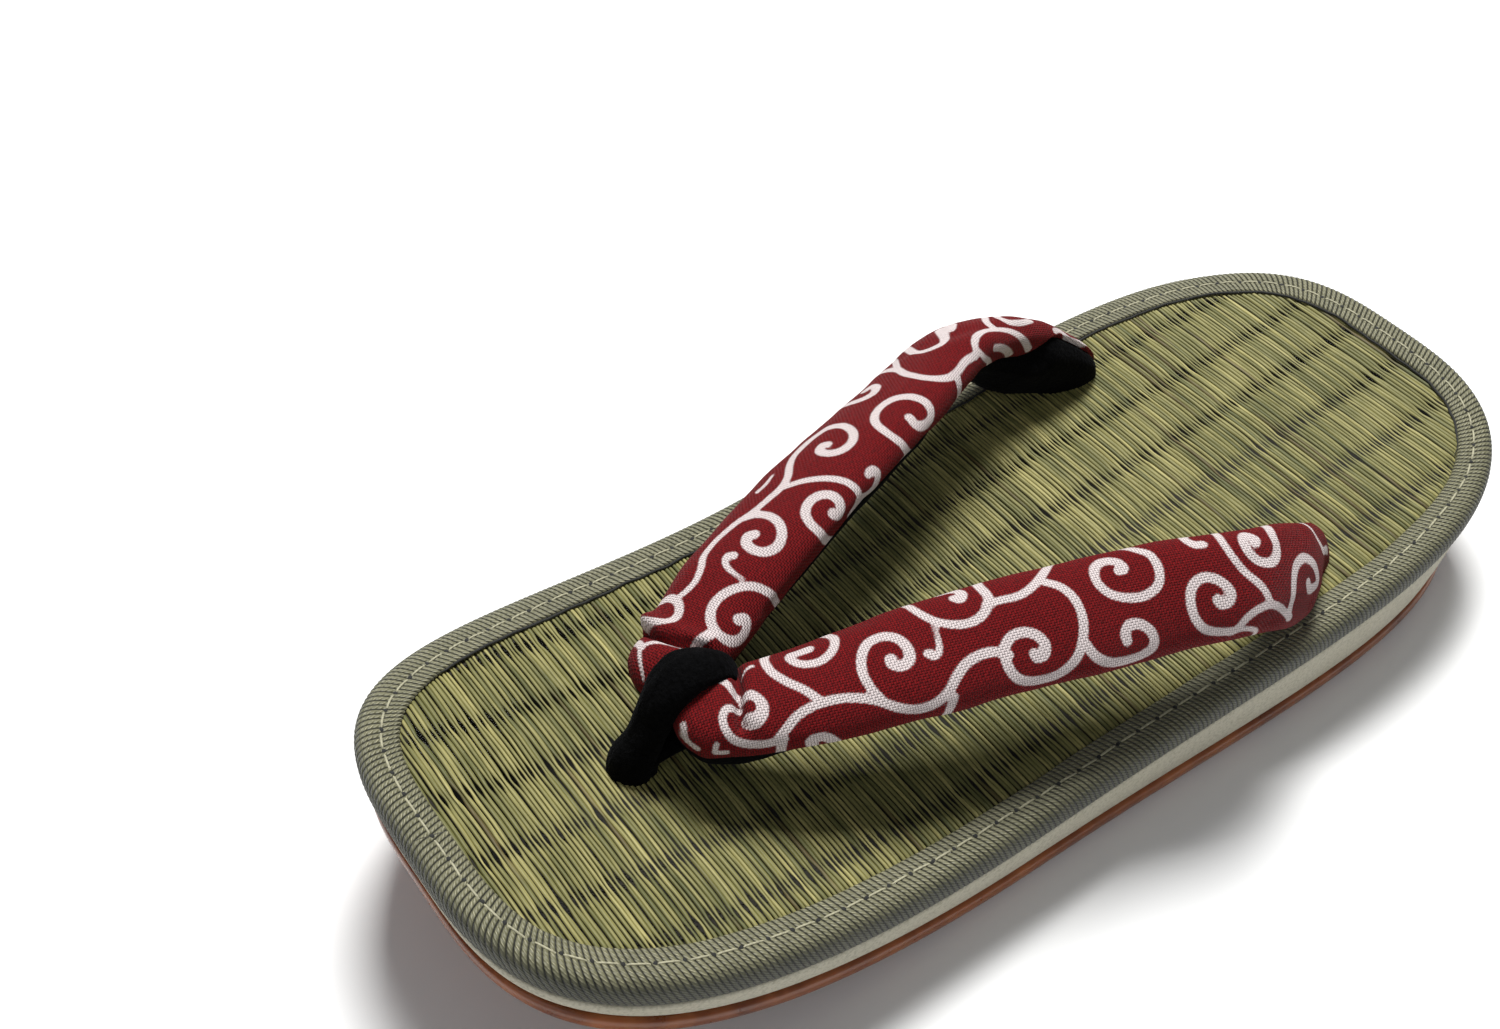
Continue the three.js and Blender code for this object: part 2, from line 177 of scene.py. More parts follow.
class Build:
    # collects arrays of points, quads and point values for one joined mesh
    def __init__(self):
        self.points, self.faces, self.values, self.count = [], [], {}, 0

    def add(self, points, faces, **values):
        points = np.asarray(points, float).reshape(-1, 3)
        self.faces.append(np.asarray(faces) + self.count)
        self.points.append(points)
        for name, value in values.items():
            self.values.setdefault(name, []).append((self.count, np.asarray(value, float)))
        self.count += len(points)

    def make(self, name, material, table):
        slot, replaced = table["slot"], table["replaces"]
        mesh = bpy.data.meshes.new(name)
        points = np.vstack(self.points)
        faces = np.vstack(self.faces)
        mesh.vertices.add(len(points))
        mesh.vertices.foreach_set("co", (points * mm).ravel())
        mesh.loops.add(faces.size)
        mesh.loops.foreach_set("vertex_index", faces.ravel())
        mesh.polygons.add(len(faces))
        mesh.polygons.foreach_set("loop_start", np.arange(0, faces.size, 4))
        mesh.polygons.foreach_set("use_smooth", np.ones(len(faces), bool))
        for label, parts in self.values.items():
            isVector = parts[0][1].ndim == 2
            whole = np.zeros((len(points), 3) if isVector else len(points))
            for start, value in parts:
                whole[start:start + len(value)] = value
            field = mesh.attributes.new(label, "FLOAT_VECTOR" if isVector else "FLOAT", "POINT")
            field.data.foreach_set("vector" if isVector else "value", whole.ravel())
        mesh.update()
        mesh.validate()
        mesh.materials.append(material)
        piece = bpy.data.objects.new(name, mesh)
        bpy.context.scene.collection.objects.link(piece)
        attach(piece, "root")
        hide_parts(*replaced)
        return piece


def paint(red, green, blue):
    # a picture colour of 0 to 255 as Blender's linear values
    return tuple((c / 255 / 12.92 if c <= 10 else ((c / 255 + 0.055) / 1.055) ** 2.4)
                 for c in (red, green, blue)) + (1.0,)


def addNode(tree, kind, values=None, **settings):
    node = tree.nodes.new(kind)
    for name, value in settings.items():
        setattr(node, name, value)
    for name, value in (values or {}).items():
        if isinstance(value, bpy.types.NodeSocket):
            tree.links.new(value, node.inputs[name])
        else:
            node.inputs[name].default_value = value
    return node


def calculate(tree, operation, first, second=0.0):
    return addNode(tree, "ShaderNodeMath", {0: first, 1: second}, operation=operation).outputs[0]


def times(tree, first, second):
    return calculate(tree, "MULTIPLY", first, second)


def blendColours(tree, amount, first, second, kind="MIX"):
    node = addNode(tree, "ShaderNodeMix", {0: amount, 6: first, 7: second},
                   data_type="RGBA", blend_type=kind)
    return node.outputs[2]


def between(tree, value, low, high, outLow=0.0, outHigh=1.0):
    node = addNode(tree, "ShaderNodeMapRange", {0: value, 1: low, 2: high, 3: outLow, 4: outHigh})
    return node.outputs[0]


def pointValue(tree, name, output="Fac"):
    return addNode(tree, "ShaderNodeAttribute", attribute_name=name).outputs[output]


def startGroup(name, inputs, outputs):
    group = bpy.data.node_groups.new(name, "ShaderNodeTree")
    for label, kind, value in inputs:
        socket = group.interface.new_socket(name=label, in_out="INPUT", socket_type=kind)
        if value is not None:
            socket.default_value = value
    for label, kind in outputs:
        group.interface.new_socket(name=label, in_out="OUTPUT", socket_type=kind)
    return group, group.nodes.new("NodeGroupInput").outputs, group.nodes.new("NodeGroupOutput")


def makeGrainGroup():
    # uneven tone and fine roughness of a surface, in the object's own metres
    group, given, out = startGroup(
        "surfaceGrain",
        [("Size", "NodeSocketFloat", 0.002), ("Stretch", "NodeSocketVector", (1, 1, 1))],
        [("Tone", "NodeSocketFloat"), ("Height", "NodeSocketFloat")])
    place = addNode(group, "ShaderNodeTexCoord").outputs["Object"]
    place = addNode(group, "ShaderNodeVectorMath", {0: place, 1: given["Stretch"]},
                    operation="MULTIPLY").outputs[0]
    scale = calculate(group, "DIVIDE", 1.0, given["Size"])
    broad = addNode(group, "ShaderNodeTexNoise",
                    {"Vector": place, "Scale": times(group, scale, 0.25), "Detail": 3.0, "Roughness": 0.6})
    fine = addNode(group, "ShaderNodeTexNoise",
                   {"Vector": place, "Scale": scale, "Detail": 4.0, "Roughness": 0.65})
    group.links.new(broad.outputs[0], out.inputs["Tone"])
    group.links.new(fine.outputs[0], out.inputs["Height"])
    return group


def makeWeaveGroup():
    # plain weave drawn in millimetres of cloth: warp and weft threads take turns on top
    group, given, out = startGroup(
        "plainWeave",
        [("Place", "NodeSocketVector", None), ("Pitch", "NodeSocketFloat", 0.5),
         ("Unevenness", "NodeSocketFloat", 0.3)],
        [("Height", "NodeSocketFloat"), ("Thread", "NodeSocketFloat")])
    wobble = addNode(group, "ShaderNodeTexNoise",
                     {"Vector": given["Place"], "Scale": 0.8, "Detail": 2.0}).outputs[1]
    wobble = addNode(group, "ShaderNodeVectorMath", {0: wobble, 1: (0.5, 0.5, 0.5)},
                     operation="SUBTRACT").outputs[0]
    wobble = addNode(group, "ShaderNodeVectorMath", {0: wobble, "Scale": given["Unevenness"]},
                     operation="SCALE").outputs[0]
    place = addNode(group, "ShaderNodeVectorMath", {0: given["Place"], 1: wobble},
                    operation="ADD").outputs[0]
    split = addNode(group, "ShaderNodeSeparateXYZ", {0: place}).outputs
    turn = calculate(group, "DIVIDE", np.pi, given["Pitch"])
    along, across = [calculate(group, "SINE", times(group, way, turn)) for way in (split[0], split[1])]
    side = calculate(group, "GREATER_THAN", times(group, along, across), 0.0)
    warp, weft = [calculate(group, "ABSOLUTE", wave) for wave in (along, across)]
    height = addNode(group, "ShaderNodeMix", {0: side, 2: warp, 3: weft}, data_type="FLOAT")
    group.links.new(height.outputs[0], out.inputs["Height"])
    cells = addNode(group, "ShaderNodeTexNoise", {"Vector": place, "Scale": 1.6, "Detail": 3.0})
    group.links.new(cells.outputs[0], out.inputs["Thread"])
    return group


def makeDustGroup():
    # pale dust and handling that gathers in broad patches
    group, given, out = startGroup(
        "lightDust",
        [("Color", "NodeSocketColor", (0.5, 0.5, 0.5, 1)),
         ("Dust", "NodeSocketColor", paint(190, 180, 160)),
         ("Amount", "NodeSocketFloat", 0.1), ("Size", "NodeSocketFloat", 0.02)],
        [("Color", "NodeSocketColor")])
    place = addNode(group, "ShaderNodeTexCoord").outputs["Object"]
    patch = addNode(group, "ShaderNodeTexNoise",
                    {"Vector": place, "Scale": calculate(group, "DIVIDE", 1.0, given["Size"]),
                     "Detail": 6.0, "Roughness": 0.7}).outputs[0]
    amount = times(group, between(group, patch, 0.45, 0.75), given["Amount"])
    mixed = blendColours(group, amount, given["Color"], given["Dust"])
    group.links.new(mixed, out.inputs["Color"])
    return group


surfaceGrain = makeGrainGroup()
plainWeave = makeWeaveGroup()
lightDust = makeDustGroup()


def placeGroup(tree, group, **values):
    node = addNode(tree, "ShaderNodeGroup", node_tree=group)
    for name, value in values.items():
        label = name[0].upper() + name[1:]
        if isinstance(value, bpy.types.NodeSocket):
            tree.links.new(value, node.inputs[label])
        else:
            node.inputs[label].default_value = value
    return node.outputs


def startMaterial(name, **values):
    material = bpy.data.materials.new(name)
    material.use_nodes = True
    tree = material.node_tree
    shader = tree.nodes["Principled BSDF"]
    for label, value in values.items():
        shader.inputs[label.replace("_", " ")].default_value = value
    return material, tree, shader


def finishSurface(tree, shader, colour, height, depth):
    # the colour, and a bump whose depth is in millimetres
    tree.links.new(colour, shader.inputs["Base Color"])
    bump = addNode(tree, "ShaderNodeBump", {"Strength": 1.0, "Distance": depth * mm, "Height": height})
    tree.links.new(bump.outputs[0], shader.inputs["Normal"])


gumLook = {
    "body": paint(150, 80, 22), "deep": paint(98, 44, 6), "dust": paint(190, 150, 110),
    "scuff": 0.10, "bump": 0.25, "grain": 0.12, "hatchTurn": 2700.0,
}


def makeGumMaterial():
    material, tree, shader = startMaterial(
        "amberGum", Roughness=0.32, IOR=1.5, Subsurface_Weight=0.35,
        Subsurface_Radius=(1.0, 0.35, 0.08), Subsurface_Scale=0.003, Coat_Weight=0.15)
    grain = placeGroup(tree, surfaceGrain, size=0.003)
    base = blendColours(tree, between(tree, grain["Tone"], 0.3, 0.7), gumLook["deep"], gumLook["body"])
    # painted light and shade: the side keeps the full colour, the groove, lip and tread are painted darker
    # towards the deep colour
    edge = between(tree, pointValue(tree, "rimLight"), 0.0, 1.0, 0.25, 1.0)
    base = blendColours(tree, edge, gumLook["deep"], base)
    base = placeGroup(tree, lightDust, color=base, dust=gumLook["dust"],
                      amount=gumLook["scuff"], size=0.012)["Color"]
    tree.links.new(between(tree, grain["Height"], 0.3, 0.7, 0.26, 0.42), shader.inputs["Roughness"])
    # cross hatch of the grip bars and the heel pad, drawn where the pads are marked
    place = addNode(tree, "ShaderNodeTexCoord").outputs["Object"]
    spot = addNode(tree, "ShaderNodeSeparateXYZ", {0: place}).outputs
    lines = []
    for way in ("ADD", "SUBTRACT"):
        slant = times(tree, calculate(tree, way, spot[0], spot[1]), gumLook["hatchTurn"])
        lines.append(calculate(tree, "SINE", slant))
    hatch = times(tree, calculate(tree, "MAXIMUM", *lines), pointValue(tree, "hatched"))
    height = calculate(tree, "ADD", times(tree, grain["Height"], gumLook["grain"]), hatch)
    finishSurface(tree, shader, base, height, gumLook["bump"])
    return material


foamLook = {"body": paint(190, 185, 166), "pore": paint(156, 151, 132), "dust": paint(165, 158, 135),
            "poreSize": 0.0007, "bump": 0.25}


def makeFoamMaterial():
    material, tree, shader = startMaterial("creamFoam", Roughness=0.85, Subsurface_Weight=0.1,
                                           Subsurface_Radius=(1.0, 0.9, 0.7), Subsurface_Scale=0.001)
    grain = placeGroup(tree, surfaceGrain, size=foamLook["poreSize"])
    pores = between(tree, grain["Height"], 0.30, 0.55)
    base = blendColours(tree, pores, foamLook["pore"], foamLook["body"])
    base = placeGroup(tree, lightDust, color=base, dust=foamLook["dust"], amount=0.25, size=0.02)["Color"]
    finishSurface(tree, shader, base, grain["Height"], foamLook["bump"])
    return material


rushLook = {
    "olive": paint(88, 90, 50), "straw": paint(138, 133, 80), "fresh": paint(176, 167, 106),
    "brown": paint(92, 78, 44), "gap": paint(18, 15, 6), "shade": paint(34, 29, 14),
    "bump": 0.12, "shadeBump": 0.2,
}


def makeRushMaterial():
    material, tree, shader = startMaterial("rushStalk", Roughness=0.55, Specular_IOR_Level=0.3)
    ramp = addNode(tree, "ShaderNodeValToRGB", {0: pointValue(tree, "stalkTone")})
    steps = ramp.color_ramp.elements
    steps[0].color = rushLook["brown"]
    steps[1].color = rushLook["fresh"]
    steps[1].position = 0.95
    for position, colour in ((0.06, "olive"), (0.55, "straw")):
        steps.new(position).color = rushLook[colour]
    streaks = placeGroup(tree, surfaceGrain, size=0.0006, stretch=(0.05, 1.0, 1.0))
    base = blendColours(tree, between(tree, streaks["Height"], 0.35, 0.65, 0.0, 0.7),
                        ramp.outputs[0], rushLook["olive"])
    patches = placeGroup(tree, surfaceGrain, size=0.006)
    base = blendColours(tree, between(tree, patches["Tone"], 0.5, 0.75, 0.0, 0.5), base, rushLook["fresh"])
    # painted shade: low crown values turn a stalk's sides towards the dark gap colour
    low = between(tree, pointValue(tree, "stalkCrown"), 0.2, 0.72, 0.96, 0.0)
    base = blendColours(tree, low, base, rushLook["gap"])
    finishSurface(tree, shader, base, streaks["Height"], rushLook["bump"])
    return material


def makeGapMaterial():
    # a dark sheet of painted shade, seen in the gaps between the stalks
    material, tree, shader = startMaterial("rushShade", Roughness=0.9)
    grain = placeGroup(tree, surfaceGrain, size=0.002)
    base = blendColours(tree, grain["Tone"], rushLook["gap"], rushLook["shade"])
    finishSurface(tree, shader, base, grain["Height"], rushLook["shadeBump"])
    return material


tapeLook = {
    "cord": paint(115, 113, 85), "groove": paint(20, 20, 14), "glint": paint(190, 184, 152),
    "cool": paint(152, 157, 152), "dust": paint(140, 134, 108), "twistPitch": 0.85,
    "glintShare": 0.75, "twistDepth": 0.12, "bump": 0.34,
}


def makeTapeMaterial():
    material, tree, shader = startMaterial("ribbedTape", Roughness=0.55, Sheen_Weight=0.12,
                                           Sheen_Roughness=0.4)
    place = addNode(tree, "ShaderNodeSeparateXYZ", {0: pointValue(tree, "ribPlace", "Vector")}).outputs
    # one cord to a turn, with painted shade in the groove where two cords meet
    turn = times(tree, place[0], np.pi)
    cord = calculate(tree, "ABSOLUTE", calculate(tree, "COSINE", turn))
    # threads twist round each cord, and painted highlights mark where they catch the light one by one
    twist = times(tree, place[1], 2 * np.pi / tapeLook["twistPitch"])
    twist = calculate(tree, "SINE", calculate(tree, "ADD", twist, times(tree, turn, 2.0)))
    grain = placeGroup(tree, surfaceGrain, size=0.0012)
    catch = times(tree, between(tree, twist, 0.45, 1.0), between(tree, cord, 0.45, 0.9))
    catch = times(tree, catch, between(tree, grain["Height"], 0.42, 0.62))
    # painted shade in the grooves between the cords
    base = blendColours(tree, between(tree, cord, 0.1, 0.7), tapeLook["groove"], tapeLook["cord"])
    patches = between(tree, grain["Tone"], 0.35, 0.7, 0.0, 0.35)
    base = blendColours(tree, patches, base, tapeLook["cool"], "MULTIPLY")
    base = blendColours(tree, times(tree, catch, tapeLook["glintShare"]), base, tapeLook["glint"])
    # painted shade: the tape's side face is painted darker and cooler than its top; the same colour also
    # gives random cool patches
    base = blendColours(tree, pointValue(tree, "sideFace"), base, tapeLook["cool"], "MULTIPLY")
    base = placeGroup(tree, lightDust, color=base, dust=tapeLook["dust"], amount=0.12, size=0.01)["Color"]
    height = calculate(tree, "ADD", calculate(tree, "POWER", cord, 0.5),
                       times(tree, twist, tapeLook["twistDepth"]))
    finishSurface(tree, shader, base, height, tapeLook["bump"])
    return material


threadLook = {"seam": paint(176, 172, 142), "dark": paint(22, 23, 18), "shade": 0.55, "bump": 0.1}


def makeThreadMaterial(name, colour, roughness):
    material, tree, shader = startMaterial(name, Roughness=roughness, Sheen_Weight=0.2)
    grain = placeGroup(tree, surfaceGrain, size=0.0006)
    shade = tuple(c * threadLook["shade"] for c in colour[:3]) + (1.0,)
    base = blendColours(tree, between(tree, grain["Height"], 0.3, 0.6), shade, colour)
    finishSurface(tree, shader, base, grain["Height"], threadLook["bump"])
    return material


clothLook = {
    "red": paint(120, 8, 12), "deepRed": paint(80, 2, 6), "white": paint(222, 210, 208),
    "dullWhite": paint(192, 168, 166), "pitch": 0.48, "unevenness": 0.25, "bleed": 0.14,
    "printEdge": 0.12, "bump": 0.14,
}


def makeClothMaterial():
    material, tree, shader = startMaterial("scrollCloth", Roughness=0.9, Sheen_Weight=0.02,
                                           Specular_IOR_Level=0.2)
    weave = placeGroup(tree, plainWeave, place=pointValue(tree, "clothPlace", "Vector"),
                       pitch=clothLook["pitch"], unevenness=clothLook["unevenness"])

    def woven(first, second, lowShare, lowLight, highLight):
        # two tones, thread by thread, with painted shade where the weave is low and painted light on the
        # raised threads
        tone = between(tree, weave["Thread"], 0.3, 0.7, lowShare, 1.0)
        light = between(tree, weave["Height"], 0.15, 0.9, lowLight, highLight)
        return blendColours(tree, 1.0, blendColours(tree, tone, first, second), light, "MULTIPLY")

    red = woven(clothLook["deepRed"], clothLook["red"], 0.0, 0.25, 1.25)
    white = woven(clothLook["dullWhite"], clothLook["white"], 0.75, 0.5, 1.08)
    bleed = between(tree, weave["Height"], 0.0, 1.0, -clothLook["bleed"], clothLook["bleed"])
    ragged = calculate(tree, "ADD", pointValue(tree, "scroll"), bleed)
    printed = between(tree, ragged, clothLook["printEdge"], -clothLook["printEdge"])
    base = blendColours(tree, printed, red, white)
    finishSurface(tree, shader, base, weave["Height"], clothLook["bump"])
    return material


velvetLook = {"deep": paint(2, 2, 2), "pile": paint(10, 10, 11), "sheen": paint(90, 92, 100), "bump": 0.5}


def makeVelvetMaterial():
    material, tree, shader = startMaterial(
        "blackVelvet", Roughness=0.95, Sheen_Weight=0.12, Sheen_Roughness=0.3,
        Sheen_Tint=velvetLook["sheen"], Specular_IOR_Level=0.05)
    pile = placeGroup(tree, surfaceGrain, size=0.0009)
    tone = between(tree, pile["Height"], 0.35, 0.7)
    base = blendColours(tree, tone, velvetLook["deep"], velvetLook["pile"])
    finishSurface(tree, shader, base, pile["Height"], velvetLook["bump"])
    return material


floorLook = {"dull": (0.88, 0.88, 0.87, 1), "pale": (0.92, 0.92, 0.91, 1)}


def makeFloorMaterial():
    material, tree, shader = startMaterial("paleFloor", Roughness=0.9)
    grain = placeGroup(tree, surfaceGrain, size=0.05)
    base = blendColours(tree, grain["Tone"], floorLook["dull"], floorLook["pale"])
    tree.links.new(base, shader.inputs["Base Color"])
    return material


amberGum = makeGumMaterial()
creamFoam = makeFoamMaterial()
rushStalk = makeRushMaterial()
rushShade = makeGapMaterial()
ribbedTape = makeTapeMaterial()
seamThread = makeThreadMaterial("seamThread", threadLook["seam"], roughness=0.6)
# painted shade for the needle holes and the dark line at the tape's inner fold
darkThread = makeThreadMaterial("darkThread", threadLook["dark"], roughness=0.8)
scrollCloth = makeClothMaterial()
blackVelvet = makeVelvetMaterial()
print("materials built")


# Loops from the top of the foam to its foot: an offset, with a drop under the mat or, from the
# foot on, a lift over the tread.
foamWedge = {
    "count": 480, "sideRows": 12, "bulge": 0.25, "lumps": 0.5, "lumpSize": 45,
    "shelf": [(-0.6, 5.6), (-0.6, 7.1), (-0.4, 7.2), (3.2, 7.2), (3.6, 7.3), (3.8, 7.6)],
    "sideTop": (3.92, 8.1), "sideFoot": (2.65, 6.0),
    "foot": [(2.5, 5.65), (2.2, 5.42), (1.6, 5.32), (-2.0, 5.32)],
    "replaces": ["midsole"], "slot": "foam",
}


def makeFoam():
    count = foamWedge["count"]
    points, normals = seamLine(count)[:2]
    rows = ringsAt(points, normals, underMat, foamWedge["shelf"])
    [top] = ringsAt(points, normals, underMat, [foamWedge["sideTop"]])
    [bottom] = ringsAt(points, normals, overTread, [foamWedge["sideFoot"]])
    lumps = softNoise(np.c_[points, np.zeros(count)], size=foamWedge["lumpSize"], seed=3)
    for t in np.linspace(0, 1, foamWedge["sideRows"]):
        out = foamWedge["bulge"] * np.sin(np.pi * t) * (1 + foamWedge["lumps"] * lumps)
        row = top * (1 - t) + bottom * t
        row[:, :2] += normals * out[:, None]
        rows.append(row)
    rows += ringsAt(points, normals, overTread, foamWedge["foot"])
    build = Build()
    build.add(np.vstack(rows), closedFaces(len(rows), count))
    return build.make("foamWedge", creamFoam, foamWedge)


# Offset and lift of the side, offset and share of depth of the ring groove, offsets of the lip.
# The curl has its middle and two radii. A patch has its middle, half width, rear, front and corner.
gumSole = {
    "count": 900, "inward": 58, "panelDepth": 0.8, "grooveDepth": 1.5,
    "dashStart": 104, "dashCount": 7, "dashShare": 0.6, "dashBlend": 1, "dashSoft": 0.04,
    "side": [(-3.0, 5.0), (1.6, 5.0), (2.3, 4.97), (2.8, 4.75), (3.15, 4.35), (3.34, 3.8), (3.4, 3.1),
             (3.36, 2.4), (3.2, 1.75), (2.9, 1.15), (2.5, 0.7), (2.0, 0.35), (1.4, 0.12), (0.7, 0.0)],
    "groove": [(-1.5, 0), (-3.8, 0), (-3.95, 0.06), (-4.1, 0.9), (-4.3, 1), (-5.9, 1), (-6.1, 0.9),
               (-6.25, 0.06)],
    "lip": (-6.4, -7.3), "treadStart": -7.6,
    # painted light of each part: the side is painted lightest, the groove, lip and tread darker as painted
    # shade
    "light": {"side": 1.0, "groove": 0.6, "lip": 0.3, "tread": 0.15},
    "edge": 0.45, "soft": 0.4, "toePad": 84, "heelPad": -56,
    "curl": (-20, 94, 8.0, 6.6), "finger": (15, 7, 72, 100, 7),
    "heelHollow": (0, 25, -88, -16, 14), "crossRib": (0, 30, -43.6, -40.4, 1.6),
    "barMiddles": (-14, 0, 14), "bar": (3.8, 22, 71, 3.7),
    "replaces": ["outsole"], "slot": "gum_rubber",
}


def roundedPatch(x, y, patch):
    # how far a spot lies outside a patch with round corners
    middle, half, back, front, radius = patch
    dx = np.abs(x - middle) - (half - radius)
    dy = np.abs(y - (back + front) / 2) - ((front - back) / 2 - radius)
    return np.hypot(np.maximum(dx, 0), np.maximum(dy, 0)) + np.minimum(np.maximum(dx, dy), 0) - radius


def behind(line, y):
    # 1 behind a line across the sole and 0 in front of it
    return smoothStep(line + gumSole["soft"], line - gumSole["soft"], y)


def treadRelief(x, y):
    # 1 in the sunk panel and 0 on what stands out of it, and where the fine hatch lies
    def inside(distance):
        return smoothStep(gumSole["edge"], -gumSole["edge"], distance)

    panel = behind(gumSole["toePad"], y)
    panel = np.maximum(panel, inside(roundedPatch(x, y, gumSole["finger"])))
    cx, cy, outer, inner = gumSole["curl"]
    away = np.hypot(x - cx, y - cy)
    panel = np.maximum(panel, inside(away - outer) * (1 - inside(away - inner)))
    pad = behind(gumSole["heelPad"], y)
    pad = pad * (1 - inside(roundedPatch(x, y, gumSole["heelHollow"])))
    bars = np.max([inside(roundedPatch(x, y, (middle, *gumSole["bar"])))
                   for middle in gumSole["barMiddles"]], axis=0)
    rib = inside(roundedPatch(x, y, gumSole["crossRib"]))
    return panel * (1 - np.maximum.reduce([pad, bars, rib])), np.maximum(pad, bars)


def makeGumSole():
    count = gumSole["count"]
    points, normals, places, length = seamLine(count)
    start, blend = gumSole["dashStart"], gumSole["dashBlend"]
    toe = smoothStep(start - blend, start + blend, points[:, 1])
    reach = places[np.argmax(points[:, 1] < start)]
    turn = ((places + reach) % length) / (2 * reach) * gumSole["dashCount"]
    half, soft = gumSole["dashShare"] / 2, gumSole["dashSoft"]
    dash = smoothStep(half + soft, half - soft, np.abs(turn % 1 - 0.5))
    groove = gumSole["grooveDepth"] * (1 - toe + toe * dash)
    rows, rim, hatched = [], [], []

    def addRow(flat, lift, part, marked=0.0):
        rows.append(np.c_[flat, treadZ(flat[:, 1]) + lift])
        rim.append(np.full(count, gumSole["light"][part]))
        hatched.append(np.broadcast_to(marked, count))

    for offset, lift in gumSole["side"]:
        addRow(points + normals * offset, lift, "side")
    for offset, share in gumSole["groove"]:
        addRow(points + normals * offset, groove * share, "groove")
    inner = points + normals * gumSole["lip"][0]
    lip = np.maximum(treadRelief(*inner.T)[0], behind(gumSole["heelPad"], inner[:, 1]))
    for offset in gumSole["lip"]:
        addRow(points + normals * offset, gumSole["panelDepth"] * lip, "lip")
    inner = points + normals * gumSole["treadStart"]
    for share in np.linspace(1, 0, gumSole["inward"]):
        flat = np.c_[inner[:, 0] * share, inner[:, 1]]
        relief, marked = treadRelief(*flat.T)
        addRow(flat, gumSole["panelDepth"] * relief, "tread", marked)
    build = Build()
    faces = np.vstack([gridFaces(len(rows), count), stripCap(count, 0)])
    build.add(np.vstack(rows), faces, rimLight=np.concatenate(rim), hatched=np.concatenate(hatched))
    return build.make("gumSole", amberGum, gumSole)


# Stalks lie across the shoe. The profile of a stalk is its side, its height and its crown value, which
# sets the painted shade of its sides.
rushMat = {
    "from": -122.4, "to": 122.4, "pitch": (0.82, 1.08), "columns": 80,
    "edge": -2.3, "edgeCount": 1440, "shortest": 6, "edgeDive": 0.5, "diveWidth": 1.6,
    "warps": [-34.4, -20.8, -6.9, 7.0, 20.8, 34.6],
    "warpSway": 0.5, "warpTurn": 23.0, "warpJitter": 0.28, "bunch": 2, "bunchChance": 0.12,
    "pinchWidth": 1.7, "pinch": 0.22, "pinchSpread": (0.9, 1.1), "narrow": (0.18, 0.34),
    "dip": 0.26, "dipWidth": 2.6, "dipSpread": (0.7, 1.1),
    "sway": 0.09, "swayTurn": (5, 12), "drift": 0.12, "driftSize": 30,
    "fullness": (0.48, 0.54), "swell": 0.08, "swellTurn": 4.3,
    "crown": 0.5, "crownSpread": (0.8, 1.2), "crownLoss": 0.25,
    "tone": (0.52, 0.25), "toneEnds": (0.06, 0.95), "darkChance": 0.035, "darkTone": 0.02,
    "toneWave": 0.10, "toneTurn": 9,
    "profile": ((-1.0, -0.15, 0.0), (-0.72, 0.62, 0.62), (0.0, 1.0, 1.0), (0.72, 0.62, 0.62),
                (1.0, -0.15, 0.0)),
    "shoulderShade": 0.24, "shoulderSpread": (-0.16, 0.22),
    "bed": 0.62, "bedEdge": -4.4, "bedCount": 360,
    "bedRows": [(-3.6, 0.8), (2.3, 1.0), (3.0, 1.6), (3.3, 2.4), (3.4, 4.4), (2.9, 5.2), (0.0, 5.28)],
    "replaces": ["footbed_mat"], "slot": "rush_mat",
}


def makeMatBed():
    # the dark bed under the stalks stands in as painted shade in the gaps
    count = rushMat["bedCount"]
    points, normals = seamLine(count)[:2]
    rows = ringsAt(points, normals, underMat, [(rushMat["bedEdge"], rushMat["bed"]), *rushMat["bedRows"]])
    build = Build()
    build.add(np.vstack(rows), closedFaces(len(rows), count))
    return build.make("matBed", rushShade, rushMat)


def stalkReach(y):
    # half the length of a stalk at a place along the shoe
    points, normals = seamLine(rushMat["edgeCount"])[:2]
    ring = points + normals * rushMat["edge"]
    right = ring[ring[:, 0] > 0]
    right = right[np.argsort(right[:, 1])]
    return np.interp(y, right[:, 1], right[:, 0], left=0, right=0)


